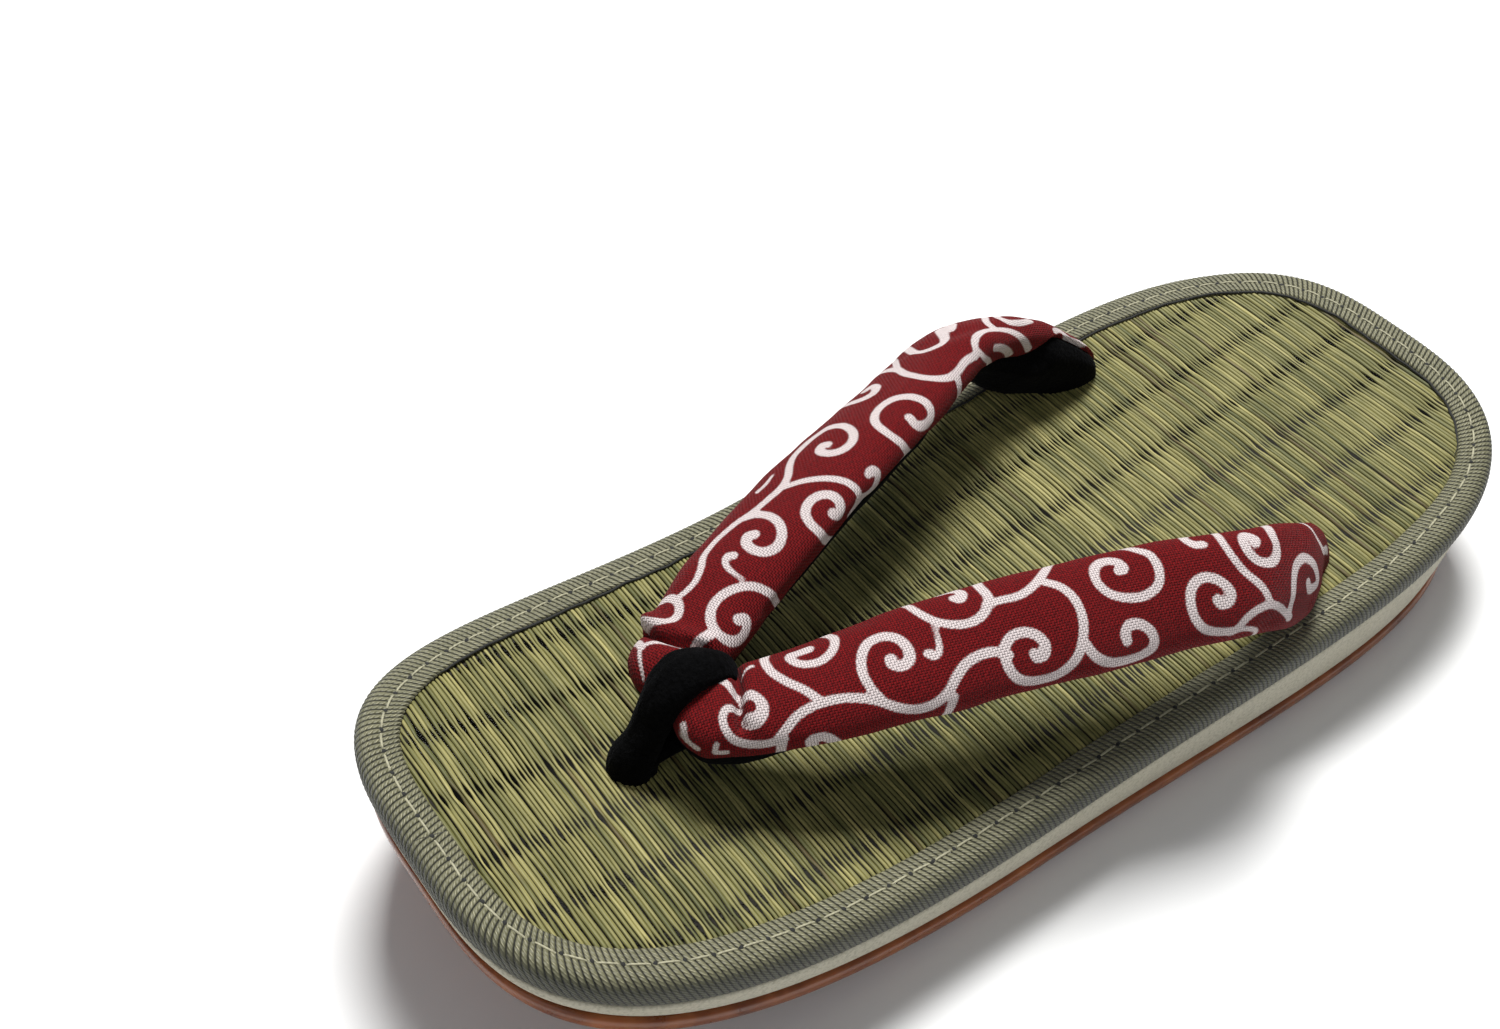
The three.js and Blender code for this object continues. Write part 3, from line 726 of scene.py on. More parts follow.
def makeStalks():
    rows = [rushMat["from"]]
    while rows[-1] < rushMat["to"]:
        rows.append(rows[-1] + draw.uniform(*rushMat["pitch"]))
    rows = np.array(rows)
    widths, reach = np.gradient(rows), stalkReach(rows)
    keep = reach > rushMat["shortest"]
    rows, widths, reach = rows[keep], widths[keep], reach[keep]
    count, columns = len(rows), rushMat["columns"]
    x = reach[:, None] * np.linspace(-1, 1, columns)[None, :]
    shift, narrow, sink = np.zeros((3, count, columns))
    for warp in rushMat["warps"]:
        # stalks draw together in small bunches where the warp ties them down
        centre, at = np.zeros(count), 0
        while at < count:
            end = at + rushMat["bunch"] + int(draw.random() < rushMat["bunchChance"])
            centre[at:end] = rows[at:end].mean()
            at = end
        here = warp + rushMat["warpSway"] * np.sin(rows / rushMat["warpTurn"] + warp)
        here = (here + draw.normal(0, rushMat["warpJitter"], count))[:, None]
        pull = np.exp(-((x - here) / rushMat["pinchWidth"]) ** 2)
        strength = rushMat["pinch"] * draw.uniform(*rushMat["pinchSpread"], count)
        shift += pull * ((centre - rows) * strength)[:, None]
        narrow = np.maximum(narrow, pull * draw.uniform(*rushMat["narrow"], count)[:, None])
        slope = np.exp(-((x - here) / rushMat["dipWidth"]) ** 2)
        depth = rushMat["dip"] * draw.uniform(*rushMat["dipSpread"], count)
        sink = np.maximum(sink, slope * depth[:, None])
    phase = draw.uniform(0, noise["fullTurn"], (count, 1))
    shift += rushMat["sway"] * np.sin(x / draw.uniform(*rushMat["swayTurn"], (count, 1)) + phase)
    broad = np.c_[x.ravel(), np.repeat(rows, columns)]
    shift += rushMat["drift"] * softNoise(broad, size=rushMat["driftSize"], seed=71).reshape(x.shape)
    y = rows[:, None] + shift
    half = draw.uniform(*rushMat["fullness"], (count, 1)) * widths[:, None] * (1 - narrow)
    half = half * (1 + rushMat["swell"] * np.sin(x / rushMat["swellTurn"] + phase * 2))
    crown = rushMat["crown"] * draw.uniform(*rushMat["crownSpread"], (count, 1))
    crown = crown * (1 - rushMat["crownLoss"] * narrow)
    toEdge = stalkReach(y.ravel()).reshape(y.shape) - np.abs(x)
    sink = sink + rushMat["edgeDive"] * smoothStep(rushMat["diveWidth"], 0.0, toEdge)
    tone = np.clip(draw.normal(*rushMat["tone"], count), *rushMat["toneEnds"])
    tone[draw.random(count) < rushMat["darkChance"]] = rushMat["darkTone"]
    tone = tone[:, None] + rushMat["toneWave"] * np.sin(x / rushMat["toneTurn"] + phase)
    # the sides of a stalk are painted dark as the shade between stalks, more where it is pinched
    pinched = rushMat["shoulderShade"] * narrow / rushMat["narrow"][1]
    layers, crowns = [], []
    for side, height, top in rushMat["profile"]:
        across = y + side * half
        layers.append(np.stack([x, across, matZ(across) - rushMat["bed"] + height * crown - sink], -1))
        shade = pinched + draw.uniform(*rushMat["shoulderSpread"], (count, 1))
        crowns.append(top - 4 * top * (1 - top) * shade)
    sides = len(layers)
    base = gridFaces(columns, sides, wrapColumns=False)
    faces = base[None] + np.arange(count)[:, None, None] * columns * sides
    build = Build()
    build.add(np.stack(layers, 2), faces.reshape(-1, 4),
              stalkTone=np.repeat(tone[:, :, None], sides, 2).ravel(),
              stalkCrown=np.stack(crowns, 2).ravel())
    return build.make("rushStalks", rushStalk, rushMat)


# Section of the tape, outside and inside: offset from the seam and drop under the mat's top.
ribTape = {
    "ribPitch": 1.16, "samples": 6, "relief": 0.2, "lean": 0.42, "ribPower": 0.6, "ribMiddle": 0.75,
    # side: where round the section the side face turns to painted shade
    "wanderSize": 30, "ribWander": 0.25, "edgeWander": 0.12, "edgeWithin": -2, "side": (6.2, 9.5),
    "outer": [(-3.05, 0.5), (-3.2, 0.1), (-3.05, -0.2), (-2.6, -0.33), (-1.3, -0.34), (-0.4, -0.26),
              (0, -0.2), (0.4, -0.26), (1.3, -0.36), (2.3, -0.3), (3.15, -0.02), (3.85, 0.5),
              (4.35, 1.25), (4.62, 2.2), (4.7, 3.4), (4.66, 4.6), (4.45, 5.6), (4.0, 6.35),
              (3.2, 6.78), (2.0, 6.9), (0.0, 6.9)],
    "inner": [(0.0, 6.1), (3.0, 5.9), (3.6, 4.8), (3.6, 1.9), (2.7, 0.75), (-2.9, 0.7)],
    "replaces": ["binding_tape"], "slot": "ribbed_tape",
}


def makeTape():
    ribs = round(seamLine(8)[3] / ribTape["ribPitch"])
    count = ribs * ribTape["samples"]
    points, normals, places, length = seamLine(count)
    wander = softNoise(points, size=ribTape["wanderSize"], seed=5)
    section = ribTape["outer"] + ribTape["inner"]
    rows, spots, sides = [], [], []
    run = 0.0
    for index, (offset, drop) in enumerate(section):
        before, after = section[index - 1], section[(index + 1) % len(section)]
        if index:
            run += np.hypot(offset - before[0], drop - before[1])
        phase = places + ribTape["lean"] * run + ribTape["ribWander"] * wander
        phase = np.pi * phase / (length / ribs)
        # the ribs stand out of the face, along the outward offset and upward lift of its normal
        slope = np.subtract(after, before)
        slope = slope / np.hypot(*slope)
        lift = ribTape["relief"] * (np.abs(np.cos(phase)) ** ribTape["ribPower"] - ribTape["ribMiddle"])
        lift = lift * (index < len(ribTape["outer"]) - 1)
        edge = ribTape["edgeWander"] * wander * (offset < ribTape["edgeWithin"])
        flat = points + normals * (offset + edge + slope[1] * lift)[:, None]
        rows.append(np.c_[flat, matZ(flat[:, 1]) - drop + slope[0] * lift])
        spots.append(np.c_[phase / np.pi, np.full(count, run), np.zeros(count)])
        # share of painted shade on the side face
        sides.append(np.full(count, smoothStep(*ribTape["side"], run)))
    build = Build()
    build.add(np.vstack(rows), gridFaces(len(rows), count, wrapRows=True), ribPlace=np.vstack(spots),
              sideFace=np.concatenate(sides))
    return build.make("ribTape", ribbedTape, ribTape)


# Stitches of the seam and the needle hole before each one, a dark disc of painted shade.
seamStitch = {
    "samples": 4000, "pitch": 5.05, "wander": 0.22, "wanderSize": 60, "inset": 0.1,
    "length": 4.5, "lengthJitter": 0.15, "startJitter": 0.12, "leanJitter": 0.12,
    "radius": 0.24, "rings": 8, "sides": 6, "flatness": 0.8, "lift": 0.30, "plunge": 0.55,
    "plungePower": 5, "ends": (0.02, 0.98), "thin": 0.55, "full": 0.45, "roundness": 0.4,
    "hole": 0.5, "holeBefore": 0.3, "holeLift": 0.25, "holeSides": 8,
    "holeRows": [(1.0, -0.06), (0.75, 0.05), (0.05, 0.09)],
    "replaces": ["binding_tape"], "slot": "ribbed_tape",
}


def tubeAlong(path, radius, sides, flat=1.0):
    # round tube along a path with its first side direction level
    path = np.asarray(path, float)
    along = np.gradient(path, axis=0)
    along /= np.linalg.norm(along, axis=1)[:, None]
    side = np.cross(along, (0, 0, 1.0))
    side /= np.maximum(np.linalg.norm(side, axis=1), 1e-6)[:, None]
    up = np.cross(side, along)
    angle = np.linspace(0, 2 * np.pi, sides, endpoint=False)
    radius = np.broadcast_to(radius, len(path))[:, None, None]
    return (path[:, None] + radius * (np.cos(angle)[None, :, None] * side[:, None]
                                      + flat * np.sin(angle)[None, :, None] * up[:, None]))


def makeStitches():
    points, normals, places, length = seamLine(seamStitch["samples"])
    stitches = round(length / seamStitch["pitch"])
    wander = seamStitch["wander"] * softNoise(points, size=seamStitch["wanderSize"], seed=9)
    wander = wander - seamStitch["inset"]

    def spot(run, offset, lift):
        at = [np.interp(run % length, places, column, period=length)
              for column in (*points.T, *normals.T, wander)]
        x, y = at[0] + at[2] * (offset + at[4]), at[1] + at[3] * (offset + at[4])
        return np.stack([x, y, matZ(y) + lift], -1)

    t = np.linspace(0, 1, seamStitch["rings"])
    lift = seamStitch["lift"] - seamStitch["plunge"] * np.abs(2 * t - 1) ** seamStitch["plungePower"]
    swell = np.sin(np.pi * np.clip(t, *seamStitch["ends"])) ** seamStitch["roundness"]
    thick = seamStitch["radius"] * (seamStitch["thin"] + seamStitch["full"] * swell)
    turn = np.linspace(0, 2 * np.pi, seamStitch["holeSides"], endpoint=False)
    circle = seamStitch["hole"] * np.c_[np.cos(turn), np.sin(turn), turn * 0]
    hole = np.vstack([circle * share + (0, 0, rise) for share, rise in seamStitch["holeRows"]])
    thread, holes = Build(), Build()
    for i in range(stitches):
        start = i * length / stitches + draw.normal(0, seamStitch["startJitter"])
        long = seamStitch["length"] + draw.normal(0, seamStitch["lengthJitter"])
        lean = draw.normal(0, seamStitch["leanJitter"])
        path = spot(start + long * t, lean * (t - 0.5), lift)
        thread.add(tubeAlong(path, thick, seamStitch["sides"], seamStitch["flatness"]),
                   gridFaces(seamStitch["rings"], seamStitch["sides"]))
        # the needle hole: a dark disc of painted shade
        middle = spot(start - seamStitch["holeBefore"], 0, seamStitch["holeLift"])
        holes.add(middle + hole, gridFaces(len(seamStitch["holeRows"]), seamStitch["holeSides"]))
    first = thread.make("seamStitches", seamThread, seamStitch)
    second = holes.make("needleHoles", darkThread, seamStitch)
    return first, second


# Dark line at the tape's inner fold, painted shade of the thin gap where it lifts off the mat, which shows
# along one side and round the heel.
selvedge = {
    "samples": 4000, "from": 40, "to": 348, "step": 0.7, "radius": 0.27, "sides": 6, "thinnest": 0.2,
    "fade": 12, "offset": -3.4, "lift": 0.02, "wave": 0.22, "waveSize": 14, "bend": 0.3, "bendSize": 60,
    "replaces": ["binding_tape"], "slot": "ribbed_tape",
}


def makeSelvedge():
    points, normals, places = seamLine(selvedge["samples"])[:3]
    run = np.arange(selvedge["from"], selvedge["to"], selvedge["step"])
    at = [np.interp(run, places, column) for column in (*points.T, *normals.T)]
    offset = selvedge["offset"] + (selvedge["wave"] * softNoise(run, size=selvedge["waveSize"], seed=21)
                                   + selvedge["bend"] * softNoise(run, size=selvedge["bendSize"], seed=22))
    x, y = at[0] + at[2] * offset, at[1] + at[3] * offset
    fade = smoothStep(0, selvedge["fade"], run - run[0]) * smoothStep(0, selvedge["fade"], run[-1] - run)
    radius = selvedge["radius"] * (selvedge["thinnest"] + (1 - selvedge["thinnest"]) * fade)
    build = Build()
    build.add(tubeAlong(np.c_[x, y, matZ(y) + selvedge["lift"]], radius, selvedge["sides"]),
              gridFaces(len(run), selvedge["sides"]))
    return build.make("innerSelvedge", darkThread, selvedge)


# Arm of the wearer's right side: place, lift over the mat, roll and half sizes of its section.
# The hem reach has its start, full reach, drop and end along the arm, and its extra angle.
strapArm = {
    "rows": [
        (4.3, 79.6, 12.8, 0, 5.6, 4.4), (5.8, 75.0, 14.2, -2, 7.8, 5.6), (8.6, 68.0, 16.0, -3, 8.8, 5.6),
        (13.9, 56, 20.0, -6, 10.1, 5.6), (22.7, 30, 24.3, -18, 11, 5.6), (31.4, 2, 23.5, -26, 11, 5.6),
        (40.4, -26, 20.8, -38, 10.3, 5.6), (40.2, -43, 11.4, -64, 10.4, 5.2),
        (36.2, -54.5, 2.3, -78, 9.0, 4.4), (35.6, -58, -4.4, -84, 8.4, 4.2),
    ],
    "squareness": 0.9, "tip": 4.0, "tipLeast": 0.0004, "fill": 0.85,
    "stations": 310, "around": 100, "slim": 0.35, "hem": 20, "hemTurn": 0.95, "hemWidth": 3,
    "hemReach": (78, 94, 123, 137, 50), "hemDrop": 0.9, "hemDropPast": 4,
    "relief": 0.22, "reliefSize": 26, "reliefStretch": 1.3, "foldSteps": 4, "scrollSteps": 7,
    "scrollFar": 9.0, "scrollKept": 3,
    "replaces": ["strap_cover"], "slot": "printed_cloth",
}

# Lining of the arm. Each range gives the sines of the angle between which it takes effect. A
# swell has its place along the arm, its spread and its height.
lining = {
    "stations": 170, "around": 56, "slim": 0.9, "lumps": 0.25, "lumpSize": 18, "lumpTurn": 6,
    "out": 0.95, "outRange": (0.1, -0.75), "sunk": 1.8, "sunkRange": (-0.3, 0.15),
    "swells": {"left": [(12, 9, 2.2)], "right": [(12, 9, 1.2), (130, 13, 3.6)]},
    "swellRange": (-0.35, -0.95), "coveredRange": (-0.95, -0.82),
    "replaces": ["strap_padding"], "slot": "velvet",
}

# Soft troughs (negative) and ridges of the cloth: depth, half width and their line on the arm,
# as length from the front and girth from the crown (positive towards the middle of the shoe).
armFolds = {
    "left": [
        (-2.1, 0.9, [(12.6, 9), (12.9, 4.6), (12.3, 1.0), (11.8, -1.7), (11.4, -4.0), (11.3, -5.8)]),
        (0.8, 1.8, [(14.4, -5), (14.9, 0), (15.6, 6)]),
        (0.6, 2.2, [(7.2, -6), (8.0, 0), (8.5, 5)]),
        (-0.45, 1.6, [(20, 8), (28, 9.5), (38, 10)]),
        (-0.35, 2.0, [(108, 2), (118, 5), (128, 9)]),
        (-0.4, 1.8, [(112, -9), (120, -6), (131, -5)]),
    ],
    "right": [
        (-2.0, 0.85, [(10.9, -10), (10.1, -7), (9.4, -4.7), (9.5, -1.0), (10.5, 2.4), (11.5, 5)]),
        (0.8, 1.7, [(13.2, -9), (12.3, -4), (12.4, 1), (13.6, 5)]),
        (0.4, 2.0, [(6.8, -7), (6.2, -2), (6.8, 3)]),
        (1.2, 2.4, [(13.6, -13), (13.2, -9.5)]),
        (-0.45, 1.6, [(26, 12), (40, 13), (58, 14)]),
        (-0.5, 1.8, [(98, -6), (104, 2), (112, 8), (122, 12)]),
        (0.4, 2.4, [(100, 4), (110, 12), (118, 15)]),
    ],
}

# Each chart: millimetres per step, then where it starts along the arm and across it.
scrollCharts = {"nose": (1, 0, 0), "front": (1 / 16, -1.3, -15), "rear": (1 / 16, 73.7, -15)}
# Scroll lines on the cloth laid flat: half width in millimetres at the start and the end, then
# the course of the line in steps of its chart.
scrollStrokes = {
    ("left", "nose"): [
        (0.8, 0.95, [(8.4, 4.3), (10.4, 3.1), (11.8, 0.6)]),
        (0.75, 0.9, [(11.6, -2.4), (9.2, -2.3), (8.1, -3.6), (8.1, -5.6), (9.2, -7.6), (11.5, -9),
         (15.3, -9.8), (18.3, -9.6)]),
        (0.85, 1.5, [(12.6, -0.9), (14.6, -0.9), (16, -2.4), (15.8, -4.2), (14.4, -5.3), (12.9, -5.2)]),
        (0.3, 0.4, [(13.8, 3.8), (14.8, 4.5), (16.2, 5.1)]),
        (0.55, 0.6, [(1.4, -2.2), (1.2, -6.2), (2.5, -8)]),
        (0.6, 0.6, [(6, -7.9), (5.6, -9.4), (7.7, -10.1)]),
    ],
    ("left", "front"): [
        (0.95, 0.95, [(300, -70), (298, 0), (300, 50), (312, 92)]),
        (0.85, 1.0, [(300, 92), (330, 115), (365, 142), (410, 158), (470, 162), (530, 150), (580, 128),
         (630, 95), (680, 78), (730, 82), (775, 105), (810, 140), (850, 170), (900, 185), (945, 182),
         (975, 165)]),
        (0.8, 0.95, [(430, 168), (400, 210), (355, 255), (325, 300), (316, 360), (330, 430)]),
        (0.85, 1.15, [(590, 128), (572, 165), (564, 215), (578, 265), (610, 303), (655, 312), (692, 293),
         (708, 255), (700, 220), (672, 208), (650, 222), (652, 235)]),
        (1.0, 0.9, [(765, -60), (766, 0), (770, 45), (788, 88)]),
        (0.95, 0.45, [(757, 224), (768, 212), (786, 220), (799, 260), (800, 302)]),
        (0.8, 1.0, [(755, 450), (768, 392), (785, 350), (815, 312), (860, 288), (910, 284), (955, 305),
         (982, 345), (978, 400), (985, 440)]),
        (0.8, 0.9, [(965, 325), (1010, 328), (1060, 326), (1105, 340), (1145, 365), (1185, 402),
         (1215, 440)]),
        (1.0, 0.9, [(892, 378), (905, 366), (920, 385), (905, 420), (860, 430)]),
        (0.95, 1.05, [(1150, 360), (1195, 325), (1218, 280), (1222, 225), (1205, 165), (1170, 110),
         (1110, 75), (1045, 70), (990, 88), (966, 125), (964, 170), (987, 206), (1028, 220), (1068, 205),
         (1088, 170), (1078, 142), (1055, 138), (1050, 152)]),
        (1.1, 1.1, [(425, -50), (445, -10), (440, 30), (415, 62), (385, 60), (384, 30)]),
        (0.9, 0.9, [(395, 352), (388, 330), (410, 298), (460, 288), (505, 310), (528, 350), (522, 400),
         (500, 440)]),
        (1.1, 1.1, [(398, 345), (415, 345), (448, 348)]),
    ],
    ("left", "rear"): [
        (1.0, 1.1, [(5, 150), (30, 105), (70, 78), (130, 68), (190, 74), (228, 95), (228, 135), (198, 166),
         (160, 172), (138, 150), (140, 128)]),
        (0.85, 1.05, [(235, 440), (268, 400), (295, 370), (303, 322), (285, 272), (235, 247), (180, 250),
         (132, 272), (107, 315), (118, 360), (158, 382), (196, 366), (202, 340), (186, 338)]),
        (0.9, 1.1, [(495, 98), (440, 103), (395, 122), (370, 160), (368, 215), (390, 256), (430, 270),
         (470, 252), (494, 215), (484, 190), (458, 186), (450, 200)]),
        (0.8, 0.9, [(485, 92), (505, 104), (535, 132), (575, 152), (625, 158), (675, 142), (722, 118),
         (740, 112)]),
        (0.8, 0.85, [(622, 165), (598, 215), (562, 262), (534, 315), (524, 370), (535, 430), (560, 470)]),
        (0.6, 0.6, [(500, 100), (545, 96), (580, 78), (592, 30), (600, -40)]),
        (0.95, 1.15, [(728, 112), (736, 170), (743, 230), (768, 276), (815, 298), (868, 284), (912, 250),
         (926, 222), (890, 205), (850, 205), (838, 220)]),
        (1.0, 1.1, [(735, 440), (706, 380), (694, 322), (660, 288), (618, 292), (590, 325), (590, 365),
         (612, 385), (632, 368), (622, 352)]),
        (0.9, 1.0, [(480, 450), (440, 440), (423, 405), (438, 376), (462, 374)]),
        (0.9, 0.9, [(1000, 470), (985, 400), (1000, 350), (1050, 310), (1120, 300), (1180, 320)]),
        (0.9, 1.1, [(1180, 40), (1150, 110), (1160, 180), (1210, 220), (1260, 200), (1270, 150),
         (1235, 130), (1215, 150)]),
    ],
    ("right", "nose"): [
        (0.4, 0.75, [(1.2, -1.9), (3.2, -3.6), (5.4, -4.9), (7.4, -3.4), (8.6, -0.9), (9.6, 1.7)]),
        (0.8, 0.9, [(5.6, -4.8), (6.6, -6.6), (7, -8.8)]),
    ],
    ("right", "front"): [
        (1.0, 0.9, [(330, 20), (301, 40), (306, 90), (321, 134), (308, 172), (270, 192), (229, 179),
         (213, 138), (213, 86)]),
        (0.7, 1.1, [(318, 152), (355, 172), (395, 180), (440, 168), (480, 148), (550, 145), (620, 160),
         (690, 182), (750, 196), (815, 205), (865, 195), (915, 165), (960, 146), (1020, 140), (1080, 144),
         (1124, 162), (1140, 200), (1136, 243), (1112, 280), (1072, 297), (1028, 286), (1002, 255),
         (1002, 225), (1030, 215), (1040, 228)]),
        (0.95, 1.15, [(655, 172), (685, 202), (694, 248), (680, 295), (645, 325), (605, 330), (572, 308),
         (562, 275), (572, 245), (598, 234), (612, 248)]),
        (0.95, 0.45, [(516, 236), (505, 220), (482, 228), (465, 262), (460, 305)]),
        (0.7, 1.1, [(110, 262), (175, 285), (220, 298), (255, 310)]),
        (0.85, 1.15, [(500, 520), (488, 468), (480, 410), (460, 345), (424, 302), (375, 275), (328, 274),
         (288, 296), (268, 332), (276, 372), (305, 396), (338, 395), (358, 375), (344, 358)]),
        (0.75, 0.95, [(820, 212), (865, 255), (900, 305), (925, 360), (934, 420), (925, 475), (900, 510)]),
        (0.9, 1.05, [(932, 452), (965, 468), (1010, 462), (1033, 438), (1026, 414), (1006, 412)]),
        (0.95, 1.15, [(790, 500), (755, 465), (738, 430), (734, 380), (754, 340), (796, 324), (838, 336),
         (860, 370), (852, 408), (828, 422), (812, 405)]),
        (0.7, 0.8, [(870, 470), (900, 462), (932, 440)]),
        (0.5, 0.7, [(1100, 487), (1150, 482), (1195, 475)]),
        (0.6, 0.4, [(780, 133), (820, 140), (865, 133)]),
    ],
    ("right", "rear"): [
        (0.9, 1.1, [(70, 540), (-5, 475), (-25, 420), (-30, 365), (-10, 312), (35, 284), (85, 282),
         (128, 302), (156, 345), (162, 400), (140, 440), (102, 442), (70, 420), (72, 388)]),
        (1.0, 1.2, [(135, 20), (98, 60), (88, 120), (102, 170), (140, 200), (182, 190), (196, 160),
         (172, 145)]),
        (0.9, 0.95, [(320, 30), (308, 100), (308, 150), (300, 205), (275, 250), (262, 310), (275, 365),
         (310, 402), (355, 413), (410, 412), (465, 425)]),
        (0.8, 0.8, [(440, 40), (400, 115), (350, 165), (308, 200)]),
        (1.0, 1.0, [(325, 540), (320, 470), (335, 420)]),
        (0.9, 1.2, [(560, 70), (500, 100), (440, 165), (412, 225), (418, 275), (452, 296), (495, 280),
         (530, 245), (560, 215)]),
        (1.3, 1.0, [(550, 268), (585, 245), (620, 190), (650, 140)]),
        (0.85, 0.9, [(475, 425), (500, 395), (550, 380), (615, 390), (680, 420), (750, 465), (830, 520)]),
        (0.7, 0.8, [(488, 420), (505, 455), (545, 490), (600, 535)]),
        (0.8, 1.0, [(575, 452), (625, 468), (690, 505), (740, 540)]),
        (0.8, 0.8, [(636, 395), (640, 350), (675, 315), (730, 270), (800, 240), (870, 235)]),
        (0.9, 0.9, [(830, 400), (770, 405), (715, 385), (708, 345), (760, 310), (830, 300), (900, 315)]),
        (0.8, 1.0, [(1090, 190), (1030, 235), (960, 250), (880, 235), (830, 190), (830, 130), (880, 90),
         (960, 75), (1020, 80), (1035, 115), (1000, 150), (955, 150)]),
        (0.9, 0.9, [(780, 0), (830, 50), (880, 90)]),
        (0.8, 0.8, [(960, 430), (1000, 410), (1050, 425), (1120, 400), (1180, 340)]),
    ],
}


def armFrames(count):
    rows = np.array(strapArm["rows"], float)
    t = np.linspace(0, 1, count)
    centre = smoothCurve(np.c_[rows[:, :2], matZ(rows[:, 1]) + rows[:, 2]], t)
    sizes = smoothCurve(rows[:, 3:], t)
    along = unit(np.gradient(centre, axis=0))
    up = unit(np.array([0, 0, 1.0]) - along * along[:, 2:])
    side = np.cross(along, up)
    roll = np.radians(sizes[:, :1])
    face, side = up * np.cos(roll) + side * np.sin(roll), side * np.cos(roll) - up * np.sin(roll)
    return {"centre": centre, "side": side, "face": face, "wide": sizes[:, 1], "thick": sizes[:, 2],
            "run": runAlong(centre)}


def lineDistance(s, w, line, steps):
    # distance of every spot to a smooth line, and the share of the line where it is nearest
    line = np.asarray(line, float)
    fine = smoothCurve(line, np.linspace(0, 1, (len(line) - 1) * steps + 1))
    best = np.full(s.shape, 1e9)
    share = np.zeros(s.shape)
    for i in range(len(fine) - 1):
        a, b = fine[i], fine[i + 1]
        d = b - a
        t = np.clip(((s - a[0]) * d[0] + (w - a[1]) * d[1]) / max(d @ d, 1e-9), 0, 1)
        away = np.hypot(s - a[0] - t * d[0], w - a[1] - t * d[1])
        nearer = away < best
        best[nearer] = away[nearer]
        share[nearer] = ((i + t) / (len(fine) - 1))[nearer]
    return best, share


def armSection(frames, angles, grow):
    # points round the arm and their outward directions, station by station
    wide = (frames["wide"] + grow)[:, None]
    thick = (frames["thick"] + grow)[:, None]
    cosine, sine = np.cos(np.atleast_2d(angles)), np.sin(np.atleast_2d(angles))
    power = strapArm["squareness"]
    x = wide * np.sign(cosine) * np.abs(cosine) ** power
    y = thick * np.sign(sine) * np.abs(sine) ** power
    outX, outY = cosine / wide, sine / thick
    size = np.hypot(outX, outY)
    return x, y, outX / size, outY / size


def innerReach(run):
    # share of the extra reach of the inner hem along the arm
    start, full, drop, end = strapArm["hemReach"][:4]
    return smoothStep(start, full, run) * smoothStep(end, drop, run)


def scrollLines(name):
    # every line of one arm's charts, with its course in millimetres
    for chart, (step, start, edge) in scrollCharts.items():
        for first, last, line in scrollStrokes[name, chart]:
            yield first, last, np.array(line) * step + (start, edge)


def finishArm(title, material, table, frames, section, relief, faces, mirror, **values):
    # moves a section out by its relief, rounds it off at the tip and makes the piece
    x, y, outX, outY = section
    t = np.clip(frames["run"] / strapArm["tip"], 0, 1)
    tip = np.sqrt(np.clip(1 - (1 - t) ** 2, strapArm["tipLeast"], 1))[:, None]
    x, y = (x + outX * relief) * tip, (y + outY * relief) * tip
    points = (frames["centre"][:, None] + x[..., None] * frames["side"][:, None]
              + y[..., None] * frames["face"][:, None])
    if mirror:
        points = points * (-1, 1, 1)
        faces = faces[:, ::-1]
    build = Build()
    build.add(points, faces, **values)
    piece = build.make(title, material, table)
    return piece


def makeArm(name, mirror):
    stations, around = strapArm["stations"], strapArm["around"]
    frames = armFrames(stations)
    run = frames["run"]
    hem = np.radians(strapArm["hem"])
    # the inner hem reaches further round before the rear end, and draws back at the end
    drop, end, more = strapArm["hemReach"][2:]
    inner = hem + np.radians(more) * innerReach(run)
    drawnBack = smoothStep(drop, end + strapArm["hemDropPast"], run)
    inner = inner - strapArm["hemDrop"] * hem * drawnBack
    angles = -inner[:, None] + (np.pi + hem + inner[:, None]) * np.linspace(0, 1, around)[None, :]
    section = armSection(frames, angles, -strapArm["slim"])
    x, y = section[:2]
    girth = np.cumsum(np.hypot(np.diff(x), np.diff(y)), axis=1)
    girth = np.concatenate([np.zeros((stations, 1)), girth], axis=1)
    crown = np.array([np.interp(np.pi / 2, turn, row) for turn, row in zip(angles, girth)])
    w = crown[:, None] - girth
    s = np.repeat(run[:, None], around, 1)
    places = np.c_[s.ravel(), w.ravel() * strapArm["reliefStretch"]]
    relief = softNoise(places, size=strapArm["reliefSize"], seed=31 + mirror).reshape(s.shape)
    relief = strapArm["relief"] * relief
    for depth, half, line in armFolds[name]:
        away = lineDistance(s, w, line, strapArm["foldSteps"])[0]
        relief += depth * np.exp(-(away / half) ** 2)
    # the hems turn in
    fromHem = np.minimum(np.arange(around), np.arange(around)[::-1])
    relief -= strapArm["hemTurn"] * np.clip(1 - fromHem / strapArm["hemWidth"], 0, 1)[None, :]
    scroll = np.full(s.shape, strapArm["scrollFar"])
    for first, last, line in scrollLines(name):
        away, share = lineDistance(s, w, line, strapArm["scrollSteps"])
        scroll = np.minimum(scroll, away - (first + (last - first) * share))
    scroll = np.clip(scroll, -strapArm["scrollKept"], strapArm["scrollKept"])
    place = np.stack([s, w, np.zeros_like(s)], -1).reshape(-1, 3)
    faces = gridFaces(stations, around, wrapColumns=False)
    return finishArm("clothArm" + name.capitalize(), scrollCloth, strapArm, frames, section, relief,
                     faces, mirror, scroll=scroll.ravel(), clothPlace=place)


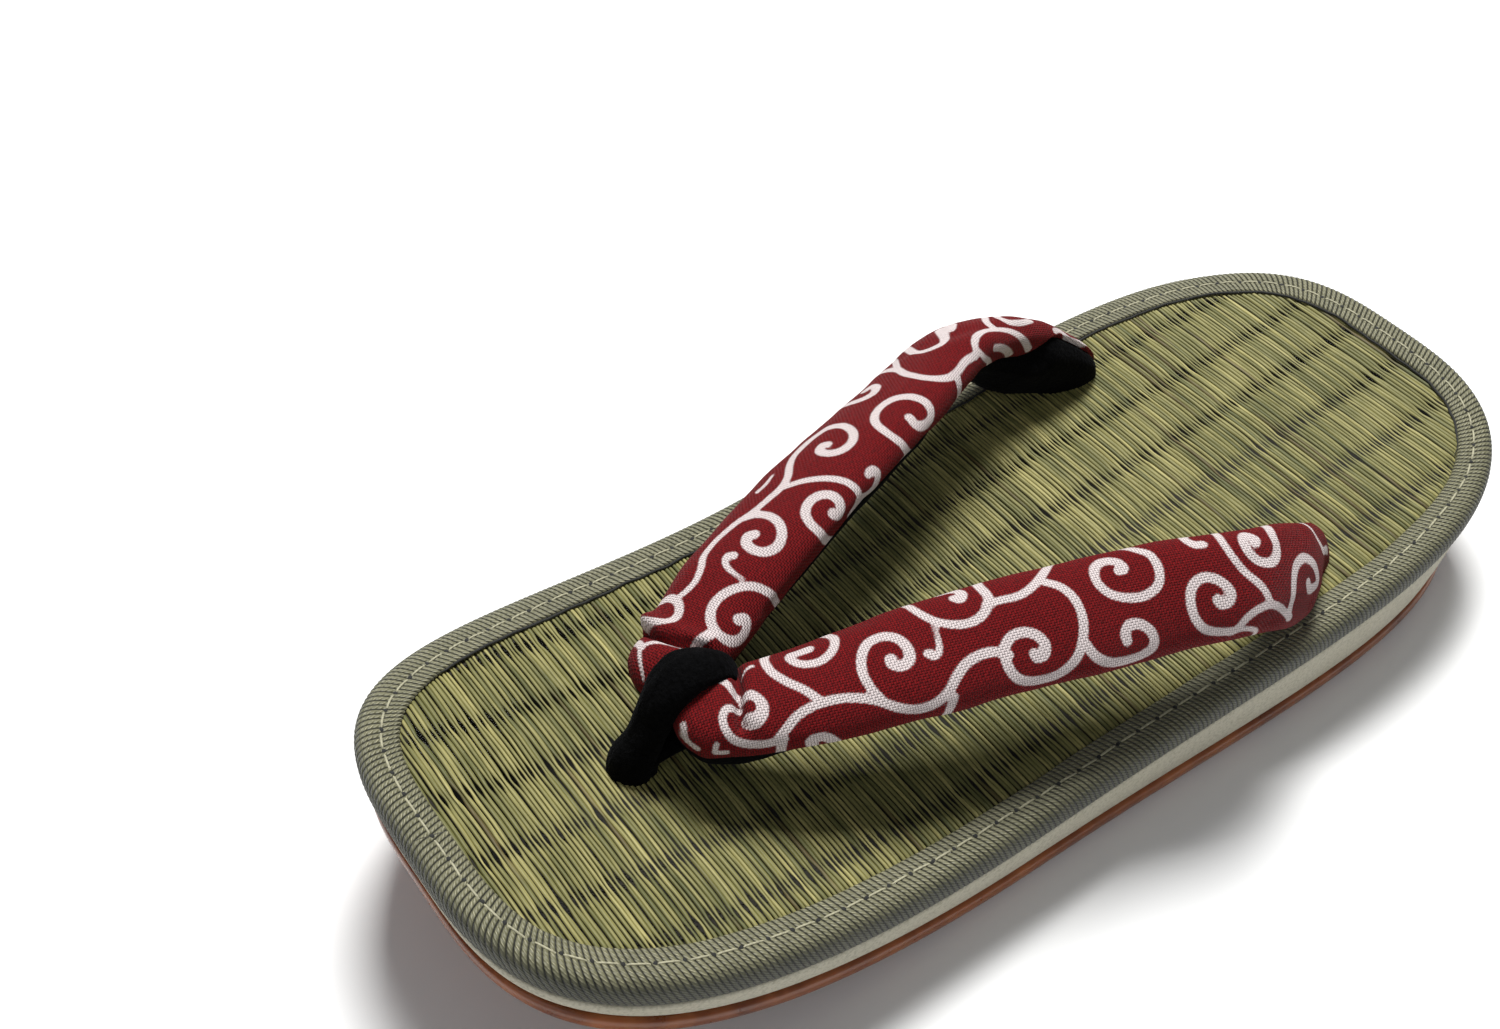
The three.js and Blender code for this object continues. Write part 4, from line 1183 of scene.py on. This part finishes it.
def makeLining(name, mirror):
    stations, around = lining["stations"], lining["around"]
    frames = armFrames(stations)
    run = frames["run"]
    angles = np.linspace(0, 2 * np.pi, around, endpoint=False)
    height = np.sin(angles)
    section = armSection(frames, angles, -lining["slim"])
    places = np.c_[np.repeat(run, around), np.tile(angles * lining["lumpTurn"], stations)]
    lumps = softNoise(places, size=lining["lumpSize"], seed=41 + mirror).reshape(stations, around)
    out = smoothStep(*lining["outRange"], height)[None, :]
    sunk = smoothStep(*lining["sunkRange"], height)[None, :]
    swell = (lining["out"] + lining["lumps"] * lumps) * out - lining["sunk"] * sunk
    low = smoothStep(*lining["swellRange"], height)[None, :]
    for at, spread, more in lining["swells"][name]:
        swell = swell + more * np.exp(-((run[:, None] - at) / spread) ** 2) * low
    # the lining stays under the cloth where the inner hem reaches further
    covered = smoothStep(*lining["coveredRange"], height) * (np.cos(angles) > 0)
    covered = innerReach(run)[:, None] * covered[None, :]
    swell = swell * (1 - covered) - lining["sunk"] * covered
    faces = np.vstack([gridFaces(stations, around), stripCap(around, (stations - 1) * around)[:, ::-1]])
    return finishArm("velvetLining" + name.capitalize(), blackVelvet, lining, frames, section, swell,
                     faces, mirror)


# Velvet loop, up and over the front joint and back under it: place along the shoe, lift over the
# mat and half sizes.
toeLoop = {
    "up": {"stations": 150, "seed": 51, "rows": [
        (85.6, -9, 4.0, 4.4), (85.6, -1, 4.4, 4.8), (85.2, 2.5, 4.4, 4.5), (83.2, 7, 4.0, 3.4),
        (81.2, 12, 4.0, 3.0), (78.8, 17.4, 4.5, 3.1), (74.8, 20.9, 4.7, 3.2), (70.4, 21.0, 4.3, 3.0),
        (66.8, 18.0, 3.9, 2.8), (65.4, 13.0, 3.8, 2.6)]},
    "back": {"stations": 70, "seed": 57, "rows": [
        (65.3, 14.2, 3.8, 2.4), (65.0, 10.4, 3.9, 2.3), (68, 7.4, 4.1, 2.2), (75, 5.6, 4.1, 2.2),
        (83.5, 3.4, 3.9, 2.2)]},
    "sides": 48, "roundSize": 6, "folds": 0.35, "foldSize": 16,
    "creases": 0.7, "creaseSize": 9, "creaseAlong": 0.35, "creaseRound": 1.6,
    "replaces": ["toe_post"], "slot": "velvet",
}


def makeToeLoop():
    sides = toeLoop["sides"]
    angles = np.linspace(0, 2 * np.pi, sides, endpoint=False)
    build = Build()
    for part in (toeLoop["up"], toeLoop["back"]):
        rows, stations, seed = np.array(part["rows"], float), part["stations"], part["seed"]
        t = np.linspace(0, 1, stations)
        path = smoothCurve(np.c_[rows[:, 0] * 0, rows[:, 0], matZ(rows[:, 0]) + rows[:, 1]], t)
        sizes = smoothCurve(rows[:, 2:], t)
        side = np.array([1.0, 0, 0])
        face = np.cross(side, unit(np.gradient(path, axis=0)))
        ring = np.c_[np.repeat(runAlong(path), sides),
                     np.tile(np.cos(angles) * toeLoop["roundSize"], stations),
                     np.tile(np.sin(angles) * toeLoop["roundSize"], stations)]
        lumps = softNoise(ring, size=toeLoop["foldSize"], seed=seed)
        stretched = np.c_[ring[:, 0] * toeLoop["creaseAlong"], ring[:, 1:] * toeLoop["creaseRound"]]
        creases = softNoise(stretched, size=toeLoop["creaseSize"], seed=seed + 1)
        grow = toeLoop["folds"] * (lumps + toeLoop["creases"] * creases).reshape(stations, -1)
        wide, thick = sizes[:, :1] + grow, sizes[:, 1:] + grow
        points = (path[:, None] + (wide * np.cos(angles))[..., None] * side
                  + (thick * np.sin(angles))[..., None] * face[:, None])
        build.add(points, closedFaces(stations, sides))
    return build.make("velvetLoop", blackVelvet, toeLoop)


makeFoam()
makeGumSole()
print("sole built")
makeMatBed()
makeStalks()
print("mat built")
makeTape()
makeStitches()
makeSelvedge()
print("tape built")
for side, mirrored in (("left", True), ("right", False)):
    makeArm(side, mirrored)
    makeLining(side, mirrored)
makeToeLoop()
print("strap built")

studio = {
    "floorSize": 6.0, "sky": (0.93, 0.95, 1.0, 1), "skyStrength": 0.2, "aim": (0, 0, 0.02),
    "key": {"place": (0.5, -0.3, 1.25), "size": 0.45, "power": 27},
    "fill": {"place": (-0.9, 0.9, 0.9), "size": 1.2, "power": 3},
}


def makeStudio():
    scene = bpy.context.scene
    scene.view_settings.view_transform = "Standard"
    size = studio["floorSize"] / 2
    corners = [(-size, -size, 0), (size, -size, 0), (size, size, 0), (-size, size, 0)]
    mesh = bpy.data.meshes.new("floor")
    mesh.from_pydata(corners, [], [(0, 1, 2, 3)])
    mesh.materials.append(makeFloorMaterial())
    floor = bpy.data.objects.new("floor", mesh)
    scene.collection.objects.link(floor)
    world = bpy.data.worlds.new("softSky")
    world.use_nodes = True
    sky = world.node_tree.nodes["Background"].inputs
    sky[0].default_value = studio["sky"]
    sky[1].default_value = studio["skyStrength"]
    scene.world = world
    for name in ("key", "fill"):
        given = studio[name]
        lamp = bpy.data.lights.new(name + "Light", "AREA")
        lamp.size = given["size"]
        lamp.energy = given["power"]
        light = bpy.data.objects.new(name + "Light", lamp)
        light.location = given["place"]
        aim = Vector(studio["aim"]) - Vector(given["place"])
        light.rotation_euler = aim.to_track_quat("-Z", "Y").to_euler()
        scene.collection.objects.link(light)
    lens = bpy.data.cameras.new("photoCamera")
    lens.lens = cameraView["lens"]
    lens.sensor_width = cameraView["sensor"]
    lens.clip_start = cameraView["nearest"]
    forward = Vector(cameraView["forward"]).normalized()
    right = forward.cross(Vector(cameraView["up"])).normalized()
    up = right.cross(forward)
    camera = bpy.data.objects.new("photoCamera", lens)
    turned = Matrix((right, up, -forward)).transposed().to_4x4()
    camera.matrix_world = Matrix.Translation(Vector(cameraView["place"]) * mm) @ turned
    scene.collection.objects.link(camera)
    scene.camera = camera


makeStudio()
print("studio built")
